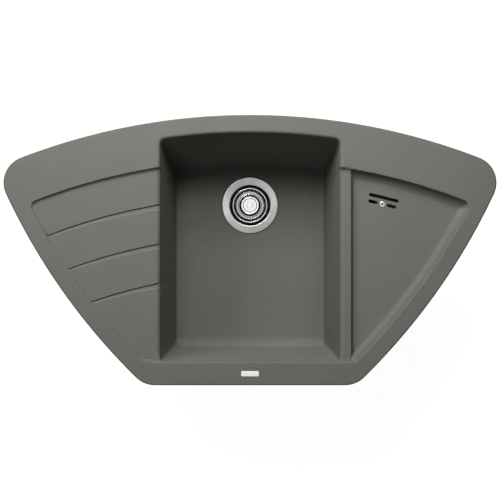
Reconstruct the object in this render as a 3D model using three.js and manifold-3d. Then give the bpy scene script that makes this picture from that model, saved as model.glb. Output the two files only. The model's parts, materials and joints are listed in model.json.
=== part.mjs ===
// A corner kitchen sink of moulded composite: main bowl with basket strainer, ribbed drainer on the left,
// shallow side basin with overflow on the right, and the fittings under it.
// Millimetres, +X right, +Y to the back wall, +Z up. z = 0 is the worktop that the rim lies on.

import * as THREE from "three";
import { mergeVertices } from "three/addons/utils/BufferGeometryUtils.js";
import Module from "manifold-3d";

const wasm = await Module();
wasm.setup();

// ---- driving dimensions ----

const clearance = 0.3; // between pieces that touch
const overcut = 2; // how far a cut or a join runs past the face that it meets

// rim: plan lengths are taken from the front edge, y = 0, and the group is moved at the end
const frontSpan = 400; // front edge between its sharp corners
const backSpan = 963.5; // back arc between its sharp corners, which leaves 930 over the rounded ones
const sinkDepth = 510; // front edge to the crown of the back arc
const backRadius = 1200;
const sideRadius = 1200;
const outlineCorner = 50;
const rimHeight = 8;
const rimRounding = 4;
const lipWidth = 12; // what lies on the worktop
const seatInset = 9; // where the lip is held, in from the edge
const wall = 8;
const skirtWidth = 7;
const skirtDepth = 12;

// sealing strip in the lip
const tapeInset = 2.5;
const tapeWidth = 4;
const tapeThickness = 1.5;

// drained recess: drainer, ridge and front step
const recessDrop = 6;
const recessBack = 83;
const recessSide = 30;
const recessFront = 43;
const recessBackCorner = 10;
const recessFrontCorner = 15;
const stepRounding = 2.5;
const stepFoot = 4;
const leastCorner = 3; // what is left of a corner at the foot of a wall
const wallSlope = THREE.MathUtils.degToRad(75);

// drainer: its floor falls to the bowl, and its grooves deepen on the way
const drainerFall = THREE.MathUtils.degToRad(0.7);
const grooveCount = 3;
const grooveFirst = 155; // back edge of the rim to the first groove
const groovePitch = 73;
const grooveDepth = 1.8; // at the bowl
const grooveRun = 9;
const grooveStep = 0.5; // run of its steep back
const grooveStart = 0.4; // share of the depth and run at the far end
const grooveEnd = 3; // from the recess's side to the groove's end

// bowl
const bowlWidth = 340;
const bowlBack = 35;
const frontShelf = 5;
const bowlDepth = 190;
const bowlCorner = 12;
const bowlFootCorner = 24;
const bowlFoot = 22;
const bowlBackDraft = 29;
const bowlSideDraft = 7;
const bowlFrontDraft = 10;
const bowlRounding = 6;
const bowlBackRounding = 4;

// side basin
const ridgeWidth = 20;
const basinDrop = 18;
const basinFoot = 14;
const basinLeftFoot = 6;
const basinCorner = 10;
const basinTip = 6;
const basinRounding = 3;

// badge plate
const badgeWidth = 33.6;
const badgeHeight = 10;
const badgeThickness = 0.9;
const badgeCorner = 2;
const badgeInset = 22; // front edge to its middle

// blind tap holes under the back of the rim
const tapRadius = 17.5;
const tapX = 215;
const tapInset = 42;
const tapSkin = 4;

// basket strainer
const strainerY = 346;
const flangeRadius = 57;
const flangeThickness = 1.3;
const flangeStand = 0.6; // above the bowl floor
const flangeMargin = 1; // round it in its seat
const gasketThickness = 1.2;
const gasketWidth = 9;
const floorHoleRadius = 45;
const cupRadius = 40.8;
const cupWall = 1.3;
const cupDraft = 1.3;
const cupUpper = 13;
const seatDrop = 6;
const seatRun = 5.5;
const cupDepth = 28;
const cupOpenings = 6;
const cupOpeningShare = 0.76; // of the way round
const cupHubRadius = 9;
const basketRimRadius = 36.2;
const basketRimDrop = 7;
const basketSheet = 1.2;
const basketWallRadius = 33.4;
const basketFloorRadius = 31;
const basketDepth = 22;
const basketSlots = 24;
const basketSlotWidth = 1.8;
const basketSlotInner = 24;
const basketSlotOuter = 29.5;
const sealThickness = 2;
const sealStand = 0.5; // seal edge above the seat
const stemRadius = 5;
const knobRadius = 18.4;
const knobThickness = 4;
const knobDrop = 2;
const chamfer = 1; // on knob, screws and nuts

// waste body
const wasteGasket = 2.5;
const wasteFlangeRadius = 55;
const wasteFlange = 4;
const wasteRadius = 48;
const wasteWall = 3;
const wasteStraight = 32;
const wasteCone = 14;
const outletRadius = 23.5;
const outletLength = 26;
const hubRadius = 8;
const webThickness = 3;
const hubHeight = 16;
const screwRadius = 3;
const screwHeadRadius = 6;
const screwHeadHeight = 3.5;
const screwSlotWidth = 1.4;
const screwSlotDepth = 1.6;
const nutWall = 5;
const nutLip = 2.5;
const nutHeight = 20;
const nutRibs = 8;
const nutGrip = 3;
const washerThickness = 3.4;

// overflow
const overflowX = 254;
const overflowInset = 125.5; // back edge of the rim to the long slot
const slotWidth = 4;
const longSlot = 56;
const shortSlot = 16.8;
const shortSlotX = 18;
const slotRows = 12.3; // between the two rows
const overflowScrewRadius = 4.7;
const overflowScrewSocket = 1.7;
const overflowShank = 2;
const housingWidth = 68;
const housingDepth = 34;
const housingHeight = 26;
const housingWall = 2.5;
const housingCorner = 8;
const housingBoss = 5;
const spigotX = 20;
const spigotRadius = 12.5;
const spigotLength = 16;

// overflow pipe
const pipeBore = 8;
const pipeRoot = 9;
const pipeCrest = 10.5;
const pipeCollar = 11.8;
const collarThickness = 2;
const ribPitch = 6;
const pipeStraight = 42; // before the bend
const hoseNutWall = 3;
const hoseNutLip = 1.5;
const hoseNutHeight = 16;
const pipeNutRibs = 8;

// clamps
const worktop = 38;
const clampInset = 24;
const clampPadLength = 16;
const clampPadRadius = 7;
const clampPadDrop = 20;
const insertRadius = 4.2;
const insertLength = 10;
const clampScrewRadius = 3;
const clampHeadRadius = 5.5;
const clampHeadHeight = 4;
const clawWidth = 14;
const clawSheet = 2.5;
const clawHeel = 12.5;
const clawReach = 20;
const clawTip = 5;
const clampBackX = [290, 410];
const clampFrontX = 110;

// ---- worked-out places ----

const recessLevel = rimHeight - recessDrop;
const slabLevel = recessLevel - wall;
const bowlFront = recessFront + frontShelf;
const bowlFloor = rimHeight - bowlDepth;
const bowlUnder = bowlFloor - wall;
const basinLeft = bowlWidth / 2 + ridgeWidth;
const basinFloor = rimHeight - basinDrop;
const basinUnder = basinFloor - wall;

// ---- helpers ----

const { Vector2, Vector3 } = THREE;
const turnUp = (geometry) => geometry.rotateX(Math.PI / 2); // from an axis along y to one along z

// A closed geometry as a solid that can be joined and cut, and back.
function solid(geometry) {
  const bare = geometry.clone();
  bare.deleteAttribute("normal");
  bare.deleteAttribute("uv");
  const merged = mergeVertices(bare, 1e-4);
  return new wasm.Manifold(
    new wasm.Mesh({
      numProp: 3,
      vertProperties: new Float32Array(merged.attributes.position.array),
      triVerts: new Uint32Array(merged.index.array),
    }),
  );
}

function geometryOf(manifold) {
  const mesh = manifold.getMesh();
  return new THREE.BufferGeometry()
    .setAttribute("position", new THREE.BufferAttribute(mesh.vertProperties, 3))
    .setIndex(new THREE.BufferAttribute(mesh.triVerts, 1));
}

const join = (first, ...rest) => rest.reduce((sum, part) => sum.add(part), first);
const cut = (first, ...rest) => rest.reduce((left, part) => left.subtract(part), first);

// An edge of an outline is a circle that the outline lies inside of, or a line with its inward normal.
const arcEdge = (x, y, radius) => ({ x, y, radius });
const lineEdge = (nx, ny, at) => ({ nx, ny, at });
const insetEdge = (e, d) => (e.radius ? { ...e, radius: e.radius - d } : { ...e, at: e.at + d });

function depthInside(edge, p) {
  if (edge.radius) return edge.radius - Math.hypot(p.x - edge.x, p.y - edge.y);
  return p.x * edge.nx + p.y * edge.ny - edge.at;
}

function inwardAt(edge, p) {
  if (edge.radius) return new Vector2(edge.x - p.x, edge.y - p.y).normalize();
  return new Vector2(edge.nx, edge.ny);
}

// Where two edges cross, by Newton steps from a point inside the outline.
function crossing(a, b, start) {
  const p = start.clone();
  for (let step = 0; step < 16; step++) {
    const [na, nb] = [inwardAt(a, p), inwardAt(b, p)];
    const [da, db] = [depthInside(a, p), depthInside(b, p)];
    const det = na.x * nb.y - na.y * nb.x;
    p.x += (db * na.y - da * nb.y) / det;
    p.y += (da * nb.x - db * na.x) / det;
  }
  return p;
}

// Points along an arc about a centre, the short way round, without the last one.
function arcPoints(centre, from, to, steps) {
  const start = Math.atan2(from.y - centre.y, from.x - centre.x);
  let sweep = Math.atan2(to.y - centre.y, to.x - centre.x) - start;
  sweep = Math.atan2(Math.sin(sweep), Math.cos(sweep));
  const radius = Math.hypot(from.x - centre.x, from.y - centre.y);
  return Array.from({ length: steps }, (_, i) => {
    const angle = start + (sweep * i) / steps;
    return new Vector2(centre.x + radius * Math.cos(angle), centre.y + radius * Math.sin(angle));
  });
}

// An outline, anticlockwise from above, from edges with a rounded corner after each one.
function outline({ edges, corners, middle, edgeSteps, cornerSteps }) {
  const rounded = edges.map((edge, i) => {
    const next = edges[(i + 1) % edges.length];
    const centre = crossing(insetEdge(edge, corners[i]), insetEdge(next, corners[i]), middle);
    const touch = (e) => centre.clone().addScaledVector(inwardAt(e, centre), -corners[i]);
    return { centre, start: touch(edge), end: touch(next) };
  });
  return edges.flatMap((edge, i) => {
    const from = rounded[(i + edges.length - 1) % edges.length].end;
    const { centre, start, end } = rounded[i];
    const along = edge.radius ? arcPoints(edge, from, start, edgeSteps) : [from];
    return [...along, ...arcPoints(centre, start, end, cornerSteps)];
  });
}

const ring = (shape, z) => outline(shape).map((p) => new Vector3(p.x, p.y, z));

// A closed body through rings of equal count, listed from the lowest up.
function loft(rings) {
  const count = rings[0].length;
  const index = [];
  for (let i = 0; i + 1 < rings.length; i++)
    for (let j = 0; j < count; j++) {
      const [a, b] = [i * count + j, i * count + ((j + 1) % count)];
      index.push(a, b, b + count, a, b + count, a + count);
    }
  const last = (rings.length - 1) * count;
  for (const [a, b, c] of THREE.ShapeUtils.triangulateShape(rings[0], [])) index.push(c, b, a);
  for (const [a, b, c] of THREE.ShapeUtils.triangulateShape(rings.at(-1), []))
    index.push(a + last, b + last, c + last);
  return new THREE.BufferGeometry().setFromPoints(rings.flat()).setIndex(index);
}

// A turned body about the z axis from a closed section of [radius, z] pairs, anticlockwise.
function turned(section, sides) {
  const points = section.map(([radius, z]) => new Vector2(Math.max(radius, 0), z));
  if (section[0][0] > 0 || section.at(-1)[0] > 0) points.push(points[0]);
  return turnUp(new THREE.LatheGeometry(points, sides));
}

function rod(radius, bottom, top, sides, x = 0, y = 0) {
  const length = top - bottom;
  const geometry = turnUp(new THREE.CylinderGeometry(radius, radius, length, sides));
  return geometry.translate(x, y, bottom + length / 2);
}

// An upright bar with round ends, lengthwise along x.
function roundBar(length, width, bottom, top, steps = 6) {
  const half = (length - width) / 2;
  const shape = new THREE.Shape();
  shape.absarc(half, 0, width / 2, -Math.PI / 2, Math.PI / 2);
  shape.absarc(-half, 0, width / 2, Math.PI / 2, (3 * Math.PI) / 2);
  const geometry = new THREE.ExtrudeGeometry(shape, {
    depth: top - bottom,
    bevelEnabled: false,
    curveSegments: steps,
  });
  return geometry.translate(0, 0, bottom);
}

function roundedRectangle(width, height, radius) {
  const [x, y] = [width / 2 - radius, height / 2 - radius];
  const shape = new THREE.Shape();
  shape.absarc(x, y, radius, 0, Math.PI / 2);
  shape.absarc(-x, y, radius, Math.PI / 2, Math.PI);
  shape.absarc(-x, -y, radius, Math.PI, (3 * Math.PI) / 2);
  shape.absarc(x, -y, radius, (3 * Math.PI) / 2, 2 * Math.PI);
  return shape;
}

function plate(shape, bottom, top, steps = 4) {
  const geometry = new THREE.ExtrudeGeometry(shape, {
    depth: top - bottom,
    bevelEnabled: false,
    curveSegments: steps,
  });
  return geometry.translate(0, 0, bottom);
}

// The section of a step down: rounded at its head and its foot, as [inset, drop] pairs from the head.
function stepSection(drop, head, foot, steps) {
  const points = [];
  for (let i = 0; i <= steps; i++) {
    const angle = (wallSlope * i) / steps;
    points.push([head * Math.sin(angle), head * (1 - Math.cos(angle))]);
  }
  const [x, z] = points.at(-1);
  const straight = drop - z - foot * (1 - Math.cos(wallSlope));
  const start = x + straight / Math.tan(wallSlope);
  for (let i = 0; i <= steps; i++) {
    const angle = wallSlope * (1 - i / steps);
    const run = foot * (Math.sin(wallSlope) - Math.sin(angle));
    points.push([start + run, drop - foot * (1 - Math.cos(angle))]);
  }
  return points;
}

// ---- plan of the rim ----

const backCentre = new Vector2(0, sinkDepth - backRadius);
const frontCorner = new Vector2(frontSpan / 2, 0);
const backCorner = new Vector2(
  backSpan / 2,
  backCentre.y + Math.sqrt(backRadius ** 2 - (backSpan / 2) ** 2),
);
const sideChord = backCorner.clone().sub(frontCorner);
const sideRise = Math.sqrt(sideRadius ** 2 - sideChord.lengthSq() / 4);
const sideCentre = frontCorner
  .clone()
  .addScaledVector(sideChord, 0.5)
  .addScaledVector(new Vector2(-sideChord.y, sideChord.x).normalize(), sideRise);

const backEdge = arcEdge(backCentre.x, backCentre.y, backRadius);
const rightEdge = arcEdge(sideCentre.x, sideCentre.y, sideRadius);
const leftEdge = arcEdge(-sideCentre.x, sideCentre.y, sideRadius);
const frontEdge = lineEdge(0, 1, 0);
const sinkMiddle = new Vector2(0, sinkDepth / 2);

function rimShape(inset, corner = outlineCorner - inset) {
  return {
    edges: [frontEdge, rightEdge, backEdge, leftEdge].map((edge) => insetEdge(edge, inset)),
    corners: [corner, corner, corner, corner],
    middle: sinkMiddle,
    edgeSteps: 12,
    cornerSteps: 5,
  };
}

function recessShape(inset) {
  const [front, back] = [recessFrontCorner, recessBackCorner].map((radius) =>
    Math.max(radius - inset, leastCorner),
  );
  return {
    edges: [
      insetEdge(frontEdge, recessFront + inset),
      insetEdge(rightEdge, recessSide + inset),
      insetEdge(backEdge, recessBack + inset),
      insetEdge(leftEdge, recessSide + inset),
    ],
    corners: [front, back, back, front],
    middle: sinkMiddle,
    edgeSteps: 12,
    cornerSteps: 4,
  };
}

function bowlShape({ back, side, front, corner }) {
  return {
    edges: [
      insetEdge(frontEdge, bowlFront + front),
      lineEdge(-1, 0, side - bowlWidth / 2),
      insetEdge(backEdge, bowlBack + back),
      lineEdge(1, 0, side - bowlWidth / 2),
    ],
    corners: [corner, corner, corner, corner],
    middle: sinkMiddle,
    edgeSteps: 8,
    cornerSteps: 5,
  };
}

function basinShape(left, outer) {
  return {
    edges: [
      insetEdge(rightEdge, recessSide + outer),
      insetEdge(backEdge, recessBack + outer),
      lineEdge(1, 0, basinLeft + left),
    ],
    corners: [Math.max(basinCorner - outer / 2, leastCorner), basinTip, basinTip],
    middle: new Vector2((basinLeft + backSpan / 2) / 2, sinkDepth * 0.6),
    edgeSteps: 8,
    cornerSteps: 4,
  };
}

// ---- sink body ----

function rimPlate() {
  const rounding = [0, 1, 2, 3].map((i) => {
    const angle = (Math.PI / 2) * (i / 3);
    const inset = rimRounding * (1 - Math.cos(angle));
    return ring(rimShape(inset), rimHeight - rimRounding * (1 - Math.sin(angle)));
  });
  return solid(loft([ring(rimShape(0), 0), ...rounding]));
}

function underside() {
  const slab = loft([ring(rimShape(lipWidth), slabLevel), ring(rimShape(lipWidth), overcut)]);
  const skirt = loft([ring(rimShape(lipWidth), -skirtDepth), ring(rimShape(lipWidth), overcut)]);
  const inner = loft([
    ring(rimShape(lipWidth + skirtWidth), -skirtDepth - overcut),
    ring(rimShape(lipWidth + skirtWidth), overcut),
  ]);
  return join(solid(slab), cut(solid(skirt), solid(inner)));
}

// The bowl's rings from the floor up, moved out by the wall for its outside.
function bowlRings(offset, top) {
  const foot = bowlFoot + offset;
  const rings = [0, 1, 2, 3, 4].map((i) => {
    const angle = (Math.PI / 2) * (1 - i / 4);
    const inset = foot * (1 - Math.cos(angle)) - offset;
    const z = bowlFloor - offset + foot * (1 - Math.sin(angle));
    const shape = bowlShape({
      back: bowlBackDraft + inset,
      side: bowlSideDraft + inset,
      front: bowlFrontDraft + inset,
      corner: Math.max(bowlFootCorner - inset, leastCorner),
    });
    return ring(shape, z);
  });
  const mouth = bowlShape({ back: -offset, side: -offset, front: -offset, corner: bowlCorner + offset });
  return [...rings, ring(mouth, recessLevel), ring(mouth, top)];
}

// The rounding of the bowl's edge at a level, as a cutter.
function bowlFlare(level, radius) {
  const rings = [0, 1, 2].map((i) => {
    const angle = (Math.PI / 2) * (i / 2);
    const out = radius * (1 - Math.cos(angle));
    const shape = bowlShape({ back: -out, side: -out, front: -out, corner: bowlCorner + out });
    return ring(shape, level - radius * (1 - Math.sin(angle)));
  });
  const past = rings.at(-1).map((p) => new Vector3(p.x, p.y, level + overcut));
  return solid(loft([...rings, past]));
}

// How far the drainer's floor lies above the rest of the recess.
const drainerRise = (x) => Math.max(-bowlWidth / 2 - x, 0) * Math.tan(drainerFall);

function recessCutter() {
  const rings = stepSection(recessDrop, stepRounding, stepFoot, 2).map(([inset, drop]) =>
    ring(recessShape(inset), rimHeight - drop),
  );
  rings.unshift(ring(recessShape(0), rimHeight + overcut));
  const above = new THREE.Shape(
    [
      [-backSpan, recessLevel + drainerRise(-backSpan)],
      [-bowlWidth / 2, recessLevel],
      [overcut - bowlWidth / 2, recessLevel - overcut],
      [backSpan, recessLevel - overcut],
      [backSpan, rimHeight + 2 * overcut],
      [-backSpan, rimHeight + 2 * overcut],
    ].map(([x, z]) => new Vector2(x, z)),
  );
  const depth = sinkDepth + 2 * overcut;
  const keep = turnUp(new THREE.ExtrudeGeometry(above, { depth, bevelEnabled: false }));
  return solid(loft(rings.reverse())).intersect(solid(keep.translate(0, sinkDepth + overcut, 0)));
}

// The inset of a step's section at a drop from its head.
function insetAt(section, drop) {
  if (drop <= 0) return 0;
  const i = section.findIndex((p) => p[1] >= drop - 1e-9);
  const [[x0, z0], [x1, z1]] = [section[Math.max(i - 1, 0)], section[i]];
  return z1 > z0 ? x0 + ((x1 - x0) * (drop - z0)) / (z1 - z0) : x1;
}

function basinCutter() {
  const outer = stepSection(basinDrop, basinRounding, basinFoot, 3);
  const left = stepSection(basinDrop - recessDrop, basinRounding, basinLeftFoot, 3);
  const drops = new Set([...outer.map((p) => p[1]), ...left.map((p) => p[1] + recessDrop)]);
  const rings = [...drops]
    .sort((a, b) => b - a)
    .filter((drop, i, all) => i === 0 || all[i - 1] - drop > 0.3)
    .map((drop) => {
      const shape = basinShape(insetAt(left, drop - recessDrop), insetAt(outer, drop));
      return ring(shape, rimHeight - drop);
    });
  return solid(loft([...rings, ring(basinShape(0, 0), rimHeight + overcut)]));
}

function basinShell() {
  const run = stepSection(basinDrop, basinRounding, basinFoot, 4).at(-1)[0];
  return solid(
    loft([
      ring(basinShape(0, run - wall), basinUnder),
      ring(basinShape(-wall, 0), slabLevel + overcut),
      ring(basinShape(-wall, 0), overcut),
    ]),
  );
}

// A wedge along an arc: steep at the back, rising gently to the front, and growing towards the bowl.
function grooveCutter(number) {
  const radius = backRadius - grooveFirst - number * groovePitch;
  const inside = insetEdge(leftEdge, recessSide + grooveEnd);
  const arc = arcEdge(backCentre.x, backCentre.y, radius);
  const end = crossing(arc, inside, new Vector2(-bowlWidth, sinkDepth / 2));
  const from = Math.asin(end.x / radius);
  const to = Math.asin((bowlRounding - bowlWidth / 2) / radius);
  const lift = overcut / grooveDepth;
  const section = [
    [0, -grooveDepth],
    [grooveStep, overcut],
    [-grooveRun * (1 + lift), overcut],
  ];
  const steps = 8;
  const index = [];
  const points = [];
  for (let i = 0; i <= steps; i++) {
    const angle = from + ((to - from) * i) / steps;
    const share = grooveStart + ((1 - grooveStart) * i) / steps;
    for (const [out, up] of section) {
      const reach = radius + out * share;
      const [x, y] = [reach * Math.sin(angle), backCentre.y + reach * Math.cos(angle)];
      points.push(new Vector3(x, y, recessLevel + drainerRise(x) + up * share));
    }
    if (i === steps) break;
    for (let j = 0; j < 3; j++) {
      const [a, b] = [i * 3 + j, i * 3 + ((j + 1) % 3)];
      index.push(a, b + 3, a + 3, a, b, b + 3);
    }
  }
  const last = steps * 3;
  index.push(0, 2, 1, last, last + 1, last + 2);
  return solid(new THREE.BufferGeometry().setFromPoints(points).setIndex(index));
}

const overflowAngle = Math.asin(overflowX / (backRadius - overflowInset));
const overflowY = backCentre.y + (backRadius - overflowInset) * Math.cos(overflowAngle);
const atOverflow = (geometry) => geometry.rotateZ(-overflowAngle).translate(overflowX, overflowY, 0);

function overflowCutters() {
  const [bottom, top] = [basinUnder - overcut, basinFloor + overcut];
  const long = roundBar(longSlot, slotWidth, bottom, top);
  const short = [-1, 1].map((side) =>
    roundBar(shortSlot, slotWidth, bottom, top).translate(side * shortSlotX, -slotRows, 0),
  );
  const hole = rod(overflowShank + clearance, bottom, top, 16, 0, -slotRows);
  const head = overflowScrewRadius + 2 * clearance;
  const sink = turned(
    [
      [0, basinFloor - head + overflowShank],
      [overflowShank, basinFloor - head + overflowShank],
      [head, basinFloor],
      [head, basinFloor + overcut],
      [0, basinFloor + overcut],
    ],
    16,
  ).translate(0, -slotRows, 0);
  return [long, ...short, hole, sink].map((g) => solid(atOverflow(g)));
}

// Where the clamps sit, each with the way out from the sink.
function clampPlaces() {
  const spots = [];
  for (const x of [...clampBackX.map((v) => -v).reverse(), ...clampBackX]) {
    const radius = backRadius - clampInset;
    const angle = Math.asin(x / radius);
    spots.push({ x, y: backCentre.y + radius * Math.cos(angle), turn: Math.PI / 2 - angle });
  }
  const half = frontCorner.clone().add(backCorner).multiplyScalar(0.5).sub(sideCentre);
  const way = Math.atan2(half.y, half.x);
  const side = sideCentre.clone().add(half.setLength(sideRadius - clampInset));
  spots.push({ x: side.x, y: side.y, turn: way });
  for (const x of [clampFrontX, -clampFrontX]) spots.push({ x, y: clampInset, turn: -Math.PI / 2 });
  spots.push({ x: -side.x, y: side.y, turn: Math.PI - way });
  return spots;
}

const clampSpots = clampPlaces();
const atClamp = (geometry, { x, y, turn }) => geometry.rotateZ(turn).translate(x, y, 0);
const insertTop = -clampPadDrop + insertLength;

function clampPad(spot) {
  const length = clampPadLength + 2 * clampPadRadius;
  const bar = roundBar(length, 2 * clampPadRadius, -clampPadDrop, slabLevel + overcut, 4);
  return solid(atClamp(bar.translate(-clampPadLength / 2, 0, 0), spot));
}

function clampHole({ x, y }) {
  const top = insertTop + clearance;
  return solid(rod(insertRadius + clearance, -clampPadDrop - overcut, top, 12, x, y));
}

function tapHole(side) {
  const radius = backRadius - tapInset;
  const y = backCentre.y + Math.sqrt(radius ** 2 - tapX ** 2);
  return solid(rod(tapRadius, slabLevel - overcut, rimHeight - tapSkin, 24, side * tapX, y));
}

function tapeChannel(bottom, top, margin) {
  const outer = rimShape(tapeInset - margin);
  const inner = rimShape(tapeInset + tapeWidth + margin);
  const hole = loft([ring(inner, bottom - overcut), ring(inner, top + overcut)]);
  return cut(solid(loft([ring(outer, bottom), ring(outer, top)])), solid(hole));
}

function sinkBody() {
  const shell = join(
    rimPlate(),
    underside(),
    solid(loft(bowlRings(wall, rimHeight - rimRounding))),
    basinShell(),
    ...clampSpots.map(clampPad),
  );
  const recess = recessCutter();
  const recessColumn = solid(
    loft([ring(recessShape(0), bowlFloor), ring(recessShape(0), rimHeight)]),
  );
  const grooves = Array.from({ length: grooveCount }, (_, i) => grooveCutter(i));
  const seat = flangeRadius + flangeMargin;
  const seatLevel = bowlFloor + flangeStand - flangeThickness - gasketThickness - 2 * clearance;
  const badge = plate(
    roundedRectangle(badgeWidth + 2 * clearance, badgeHeight + 2 * clearance, badgeCorner),
    rimHeight - badgeThickness,
    rimHeight + overcut,
  ).translate(0, badgeInset, 0);
  return cut(
    shell,
    recess,
    ...grooves,
    basinCutter(),
    solid(loft(bowlRings(0, rimHeight + overcut))),
    bowlFlare(rimHeight, bowlBackRounding),
    bowlFlare(recessLevel, bowlRounding).intersect(recessColumn),
    solid(rod(seat, seatLevel, bowlFloor + overcut, 36, 0, strainerY)),
    solid(rod(floorHoleRadius, bowlUnder - overcut, bowlFloor, 36, 0, strainerY)),
    ...overflowCutters(),
    ...clampSpots.map(clampHole),
    tapHole(-1),
    tapHole(1),
    tapeChannel(-overcut, tapeThickness, clearance),
    solid(badge),
  );
}

// ---- rim fittings ----

const rimSealTape = () => tapeChannel(0, tapeThickness - clearance, 0);

function badgePlate() {
  const bottom = rimHeight - badgeThickness + clearance;
  return plate(roundedRectangle(badgeWidth, badgeHeight, badgeCorner), bottom, rimHeight + clearance)
    .translate(0, badgeInset, 0);
}

// ---- basket strainer ----

const flangeTop = bowlFloor + flangeStand;
const flangeBottom = flangeTop - flangeThickness;
const seatTop = flangeTop - cupUpper;
const seatBottom = seatTop - seatDrop;
const cupFloorTop = flangeTop - cupDepth;
const cupFloorBottom = cupFloorTop - cupWall;
const seatRadius = cupRadius - cupDraft;
const throatRadius = seatRadius - seatRun;
const atStrainer = (geometry) => geometry.translate(0, strainerY, 0);

// A cutter with flat sides that widens outwards between two radii, for one of several openings.
function sector(inner, outer, halfAngle, bottom, top, turn) {
  const shape = new THREE.Shape();
  shape.absarc(0, 0, outer, turn - halfAngle, turn + halfAngle);
  shape.absarc(0, 0, inner, turn + halfAngle, turn - halfAngle, true);
  return solid(plate(shape, bottom, top, 3));
}

function strainerFlange() {
  const cup = turned(
    [
      [0, cupFloorBottom],
      [throatRadius + cupWall, cupFloorBottom],
      [throatRadius + cupWall, seatBottom - cupWall / 2],
      [seatRadius + cupWall, seatTop - cupWall / 2],
      [cupRadius + cupWall, flangeBottom],
      [flangeRadius, flangeBottom],
      [flangeRadius, flangeBottom + flangeThickness / 2],
      [flangeRadius - flangeThickness, flangeTop],
      [cupRadius + chamfer, flangeTop],
      [cupRadius, flangeTop - chamfer],
      [seatRadius, seatTop],
      [throatRadius, seatBottom],
      [throatRadius, cupFloorTop],
      [0, cupFloorTop],
    ],
    32,
  );
  const step = (2 * Math.PI) / cupOpenings;
  const openings = Array.from({ length: cupOpenings }, (_, i) =>
    sector(
      cupHubRadius,
      throatRadius - cupWall,
      (step * cupOpeningShare) / 2,
      cupFloorBottom - overcut,
      cupFloorTop + overcut,
      i * step,
    ),
  );
  const hole = rod(screwRadius + clearance, cupFloorBottom - overcut, cupFloorTop + overcut, 12);
  return atStrainer(geometryOf(cut(solid(cup), ...openings, solid(hole))));
}

function washerRing(inner, outer, bottom, top, sides) {
  return turned(
    [
      [inner, bottom],
      [outer, bottom],
      [outer, top],
      [inner, top],
    ],
    sides,
  );
}

function flangeGasket() {
  const top = flangeBottom - clearance;
  return atStrainer(
    washerRing(flangeRadius - gasketWidth, flangeRadius - clearance, top - gasketThickness, top, 28),
  );
}

const basketRim = flangeTop - basketRimDrop;
const basketBottom = flangeTop - basketDepth;
const sealOuter = basketRimRadius + 0.8;
const sealBottom = seatTop - ((seatRadius - sealOuter) * seatDrop) / seatRun + sealStand;
const sealTop = sealBottom + sealThickness;
const basketInnerFloor = basketBottom + basketSheet;
const basketUnderRim = sealTop + clearance;

function strainerBasket() {
  const inner = basketWallRadius - basketSheet;
  const cup = turned(
    [
      [0, basketBottom],
      [basketFloorRadius, basketBottom],
      [basketWallRadius, sealBottom],
      [basketWallRadius, basketUnderRim],
      [basketRimRadius, basketRim - basketSheet],
      [basketRimRadius, basketRim],
      [basketRimRadius - basketSheet, basketRim],
      [inner, basketUnderRim + basketSheet],
      [inner, sealBottom],
      [basketFloorRadius - basketSheet, basketInnerFloor],
      [0, basketInnerFloor],
    ],
    30,
  );
  const slots = Array.from({ length: basketSlots }, (_, i) => {
    const slot = new THREE.BoxGeometry(
      basketSlotOuter - basketSlotInner,
      basketSlotWidth,
      basketSheet + 2 * overcut,
    );
    slot.translate((basketSlotInner + basketSlotOuter) / 2, 0, basketBottom);
    return solid(slot.rotateZ((2 * Math.PI * i) / basketSlots));
  });
  return atStrainer(geometryOf(cut(solid(cup), ...slots)));
}

const basketSeal = () =>
  atStrainer(washerRing(basketWallRadius + clearance, sealOuter, sealBottom, sealTop, 30));

const knobTop = flangeTop - knobDrop;
const knobBottom = knobTop - knobThickness;

function basketKnob() {
  return atStrainer(
    turned(
      [
        [0, knobBottom],
        [knobRadius - chamfer, knobBottom],
        [knobRadius, knobBottom + chamfer],
        [knobRadius, knobTop - chamfer],
        [knobRadius - chamfer, knobTop],
        [0, knobTop],
      ],
      28,
    ),
  );
}

const basketStem = () =>
  atStrainer(rod(stemRadius, basketInnerFloor + clearance, knobBottom - clearance, 16));

// ---- waste body ----

const wasteTop = bowlUnder - wasteGasket - 2 * clearance;
const wasteConeTop = wasteTop - wasteStraight;
const outletTop = wasteConeTop - wasteCone;
const outletEnd = outletTop - outletLength;
const spigotZ = wasteConeTop + spigotRadius + wasteWall / 2;
const hubTop = cupFloorBottom - clearance;

const wasteBodyGasket = () => {
  const top = bowlUnder - clearance;
  const inner = floorHoleRadius + clearance;
  return atStrainer(washerRing(inner, wasteFlangeRadius, top - wasteGasket, top, 28));
};

// The pipe's upright end under the overflow housing, seen from the strainer.
const spigotPlace = new THREE.Vector3(-spigotX, -slotRows / 2, 0)
  .applyAxisAngle(new Vector3(0, 0, 1), -overflowAngle)
  .add(new Vector3(overflowX, overflowY, 0));
const pipeWay = Math.atan2(spigotPlace.y - strainerY, spigotPlace.x);
const pipeReach = Math.hypot(spigotPlace.x, spigotPlace.y - strainerY);
const wasteSpigotEnd = wasteFlangeRadius + hoseNutHeight; // so that its nut passes the flange

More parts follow.
